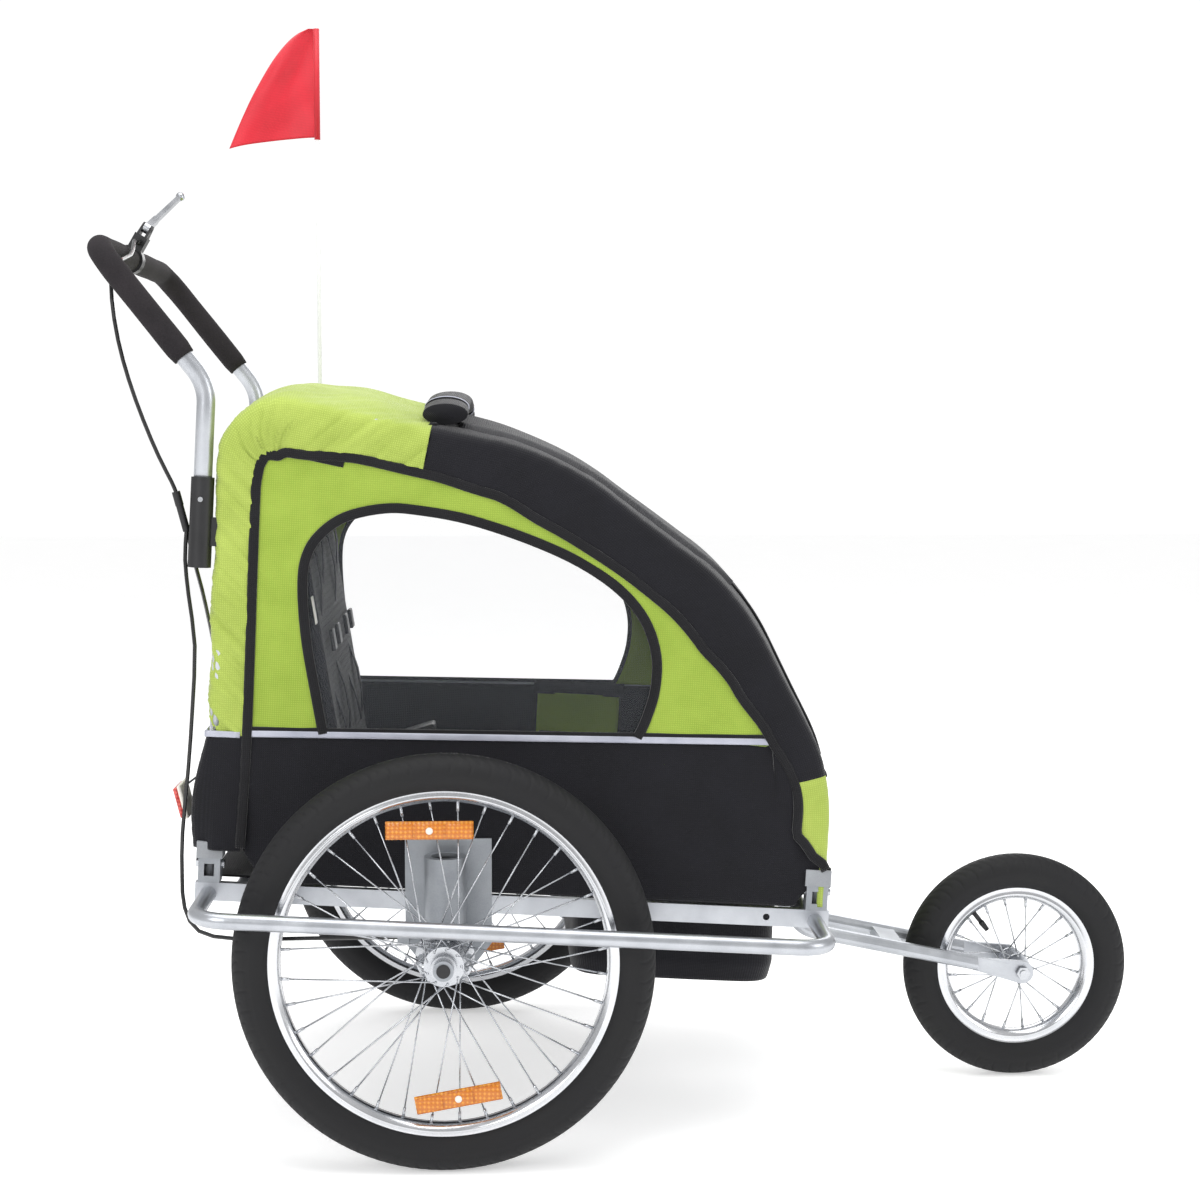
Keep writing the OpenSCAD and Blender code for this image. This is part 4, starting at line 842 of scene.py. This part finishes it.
def cushion(name, node, place, size):  # a stuffed pad: a box blown up as cloth, then smoothed
    bm = bmesh.new()
    block(bm, place, size, min(size) * 0.3, 2)
    rough = bpy.data.objects.new(name + "Rough", bpy.data.meshes.new(name + "Rough"))
    bm.to_mesh(rough.data)
    bm.free()
    scene.collection.objects.link(rough)
    remesh = rough.modifiers.new("even", "REMESH")
    remesh.mode, remesh.voxel_size = "VOXEL", 6 * mm
    cloth = rough.modifiers.new("cloth", "CLOTH")
    cloth.settings.use_pressure, cloth.settings.uniform_pressure_force = True, seat["puff"]
    cloth.settings.effector_weights.gravity = 0
    cloth.settings.quality = 6
    cloth.point_cache.frame_start, cloth.point_cache.frame_end = 1, 12
    for step in range(1, 13):
        scene.frame_set(step)
        bpy.context.view_layer.update()
    blown = rough.evaluated_get(bpy.context.evaluated_depsgraph_get()).to_mesh()
    bm = bmesh.new()
    bm.from_mesh(blown)
    rough.evaluated_get(bpy.context.evaluated_depsgraph_get()).to_mesh_clear()
    middleOf = place.translation
    limit = [s / 2 * mm for s in size]
    turn = place.to_3x3()
    for v in bm.verts:  # the filling is held by its seams, so it never swells past the cap
        off = turn.transposed() @ (v.co - middleOf)
        for k in range(3):
            room = limit[k] + (7 if k == min(range(3), key=lambda j: size[j]) else 3) * mm
            off[k] = max(-room, min(room, off[k]))
        v.co = middleOf + turn @ off
    scene.frame_set(1)
    bpy.data.objects.remove(rough)
    bmesh.ops.smooth_vert(bm, verts=bm.verts, factor=0.5, use_axis_x=True, use_axis_y=True, use_axis_z=True)
    piece = newPiece(name, bm, "root", blackCloth, [node], merge=False)
    uv = piece.data.uv_layers.new(name="cloth")
    for corner in piece.data.loops:
        off = turn.transposed() @ (piece.data.vertices[corner.vertex_index].co - middleOf)
        uv.data[corner.index].uv = (off.x + off.z * 0.3, off.y + off.z * 0.2)
    return piece


(u0, u1), seatHalf, (w0, w1) = seat["base"]
cushion("seatBase", "seat_base", Matrix.Translation(chassis((u0 + u1) / 2, 0, (w0 + w1) / 2)),
        (u1 - u0, 2 * seatHalf, w1 - w0))
lean = Matrix.Rotation(math.radians(-seat["lean"]), 4, "Y")
backFoot = chassis(-142, 0, 146)
cushion("seatBack", "seat_back",
        Matrix.Translation(backFoot) @ lean @ Matrix.Translation(Vector((0, 0, seat["back"] / 2 * mm))),
        (18, 2 * seatHalf - 4, seat["back"]))

# the footwell: a slack bag through the floor
bag = {"u": (152, 414), "half": 186, "top": 65, "deep": 117}


def bagPlace(s, t):
    a, k = 2 * math.pi * s, max(0.0, t - 0.1) / 0.9
    u0, u1 = bag["u"]
    ring = (abs(math.cos(a)) ** 8 + abs(math.sin(a)) ** 8) ** (-1 / 8)
    x, y = math.cos(a) * ring, math.sin(a) * ring
    if t < 0.1:  # the brim that joins the bag to the frame round it
        brim = 1 - t / 0.1
        return (chassis((u0 + u1) / 2 + x * (u1 - u0) / 2 + (x * 13 + 13) * brim,
                        y * (bag["half"] + 54 * brim),
                        bag["top"] + 1.2 * brim), (a * 150, t * 230))
    if k < 0.72:
        down, draw = k / 0.72, 1.0
        soft = math.sin(math.pi * down) * 0.012
    else:
        down, draw, soft = 1.0, 1 - ((k - 0.72) / 0.28) ** 1.0, 0.0
    rounded = 1 - 0.04 * max(0.0, down - 0.8) * 5
    sag = 4 * (1 - draw) + 2.5 * noise.noise(Vector((x * 2, y * 2, k * 4)))
    ripple = 2.2 * noise.noise(Vector((x * 3 + 4, y * 3, k * 3))) * min(1, k * 5)
    u = (u0 + u1) / 2 + x * ((u1 - u0) / 2 * rounded * (1 - soft) + ripple) * draw
    w = bag["top"] - bag["deep"] * down + (0 if k < 0.72 else -sag * 0.8)
    return chassis(u, y * (bag["half"] * rounded * (1 - soft) + ripple) * draw, w), (a * 150, k * 230)


footwell = clothGrid("footwell", 144, 46, bagPlace, blackCloth, ["floor_tub"], 1.2)


def floorPlace(s, t):
    u, y = -288 + 440 * s, 240 * (2 * t - 1)
    return chassis(u, y, 66.5 + 0.6 * noise.noise(Vector((u / 60, y / 60, 1)))), (u, y)


floorSheet = clothGrid("floorSheet", 60, 60, floorPlace, blackCloth, (), 1.2)


def backAt(across, up, off):  # a place on the seat back: mm across, up it, and in front of it
    return backFoot + lean @ Vector((off * mm, across * mm, up * mm))


harness = {"wide": 25, "thick": 1.8, "places": (-108, 108), "shoulders": (-48, 48)}
front = lean @ Vector((1, 0, 0))
for i, middleY in enumerate(harness["places"]):
    for j, sideY in enumerate(harness["shoulders"]):
        strap = [backAt(middleY + sideY * (1 - 0.25 * k / 9), 345 - 30 * k,
                        16 + 7 * math.sin(k * 0.9 + j)) for k in range(10)]
        tape("shoulderStrap.%d%d" % (i, j), strap, harness["wide"], harness["thick"], "black_cloth", webbing,
             front)
        slide = bmesh.new()
        block(slide, Matrix.Translation(backAt(middleY + sideY * 0.86, 205, 24)) @ lean, (5, 32, 26), 1.6, 2)
        newPiece("strapSlide.%d%d" % (i, j), slide, "root", blackAbs)
    belt = [chassis(-92 + 34 * math.sin(math.pi * k / 12), middleY - 92 + 184 * k / 12,
                    181 + 22 * math.sin(math.pi * k / 12))
            for k in range(13)]
    tape("lapBelt.%d" % i, belt, harness["wide"], harness["thick"], "black_cloth", webbing,
         Vector((0.3, 0, 1)))
    crotch = [chassis(-6 - 8.5 * k, middleY, 180 + 3.2 * k) for k in range(7)]
    tape("crotchStrap.%d" % i, crotch, harness["wide"], harness["thick"], "black_cloth", webbing,
         Vector((0.3, 0, 1)))
    buckle = bmesh.new()
    block(buckle, Matrix.Translation(chassis(-58, middleY, 206)) @ Matrix.Rotation(-0.3, 4, "Y"),
          (46, 44, 11), 3.5, 3)
    newPiece("buckle.%d" % i, buckle, "root", blackAbs)

# plain care label on the seat back's edge
bm = bmesh.new()
block(bm, Matrix.Translation(backAt(-219, 250, 14)) @ lean, (1.2, 22, 34), 0.4, 1)
newPiece("careLabel", bm, "root", whiteNylon)

# a pocket on the inside of each side panel, with a mesh band along its top
for side, sign in sides.items():
    def pocketPlace(s, t):
        u, w = 104 + 118 * s, 178 + 70 * t
        return chassis(u, sign * (262.0 - 5 * math.sin(math.pi * s) * t), w), (u, w)

    # the pocket takes the lime cloth painted darker, as painted shade inside the trailer
    pocket = clothGrid("pocket." + side, 24, 14, pocketPlace, shadedLimeCloth, (), 1.0)
    tape("pocketTop." + side, [chassis(98 + 13 * k, sign * 259.5, 256) for k in range(11)], 20, 2.0,
         "black_cloth", webbing, outward * sign)

# rolled rain cover across the top, with two bands round it
roll = {"u": -34, "w": 635, "half": 246, "wide": 27, "high": 12.5, "bands": (-178, 178), "edgeBand": 34,
        "band": 22}
bm = bmesh.new()
steps = 96
line, scale = [], []
for k in range(steps + 1):
    y = roll["half"] * (2 * k / steps - 1)
    lift = fromTable(cover["crown"], 800) * math.cos(y / 258 * math.pi / 2) ** 0.75
    line.append(chassis(roll["u"] + 1.2 * noise.noise(Vector((y / 40, 1, 1))), y, roll["w"] + lift * 0.9))
    pinch = sum(math.exp(-((y - at) / 14) ** 2) for at in roll["bands"])
    scale.append(1 - 0.10 * pinch + 0.035 * noise.noise(Vector((y / 22, 5, 2))))
sweepRound(bm, line, 1, 36, True, scale, (roll["wide"] * mm, roll["high"] * mm))
rainRoll = newPiece("rainRoll", bm, "root", blackCloth, ["rain_roll"], merge=False)
uv = rainRoll.data.uv_layers.new(name="cloth")
for corner in rainRoll.data.loops:
    p = rainRoll.data.vertices[corner.vertex_index].co
    uv.data[corner.index].uv = (p.y, p.x + p.z)
for i, at in enumerate(roll["bands"]):
    k = min(range(steps + 1), key=lambda j: abs(line[j].y - at * mm))
    for name, wide, material, slot, thick in (("rollBandEdge", roll["edgeBand"], bindingTape, "black_cloth",
                                               1.2),
                                              ("rollBand", roll["band"], reflectiveTape, "grey_plastic",
                                               2.2)):
        ring = bmesh.new()
        sweepRound(ring, [line[k] + Vector((0, d * mm, 0)) for d in (-wide / 2, -wide / 4, 0, wide / 4,
                                                                     wide / 2)], 1, 36, True,
                   None, ((roll["wide"] * 0.93 + thick) * mm, (roll["high"] * 0.93 + thick) * mm))
        newPiece("%s.%d" % (name, i), ring, "root", material)

# ---- flag, reflector and cables ----
flag = {"pole": -192, "y": 272.2, "top": 1430, "low": 1278, "long": 122}


def flagPlace(s, t):
    reach = flag["long"] * (0.12 + 0.88 * (1 - t) ** 0.62) * s
    sagged = -14 * s * s * (1 - t) - 3 * s
    z = flag["low"] + (flag["top"] - flag["low"]) * t + sagged
    wave = 9 * math.sin(s * 5.4 + t * 1.5) * s + 3 * noise.noise(Vector((s * 3, t * 4, 2)))
    return row(flag["pole"] - 1 - reach, flag["y"] + wave, z), (s * 130, t * 152)


pennant = clothGrid("flagCloth", 40, 44, flagPlace, flagNylon, ["flag"], 0.5, "flag")
bm = bmesh.new()
rodBetween(bm, row(flag["pole"], flag["y"], flag["low"] - 3), row(flag["pole"], flag["y"], flag["top"] - 1),
           4.2 * mm, 20)
newPiece("flagSleeve", bm, "flag", flagNylon)

tail = {"u": -330, "y": -202, "w": 152}
place = Matrix.Translation(chassis(tail["u"], tail["y"], tail["w"])) @ Matrix.Rotation(math.radians(-14), 4,
                                                                                       "Y")
for name, off, size, slot, material in (("tailReflector.base", 2, (5, 60, 42), "grey_plastic", whiteNylon),
                                        ("tailReflector.lens", -3, (6, 56, 38), "red_lens", redLens)):
    bm = bmesh.new()
    block(bm, place @ Matrix.Translation(Vector((off * mm, 0, 0))), size, 2.2, 3)
    newPiece(name, bm, "root", material, ["rear_reflector"] if off > 0 else ())
print("inside and rear fitted")
tape("tailStrap", [chassis(-308 - 2.6 * k, tail["y"], 187 - 2.2 * k) for k in range(9)], 24, 1.8,
     "black_cloth", webbing, Vector((-0.5, 0, 1)))
# ---- floor ----
bm = bmesh.new()
bmesh.ops.create_grid(bm, x_segments=1, y_segments=1, size=14)
floorMesh = bpy.data.meshes.new("floor")
bm.to_mesh(floorMesh)
bm.free()
floor = bpy.data.objects.new("floor", floorMesh)
scene.collection.objects.link(floor)
floorMesh.materials.append(grained("painted studio floor", {"Emission Color": (1, 1, 1, 1),
                                                            "Emission Strength": studio["floorGlow"]},
                                   ("#F1F1F1", "#F7F7F7"), 6, 0.05, (0.7, 0.8)))
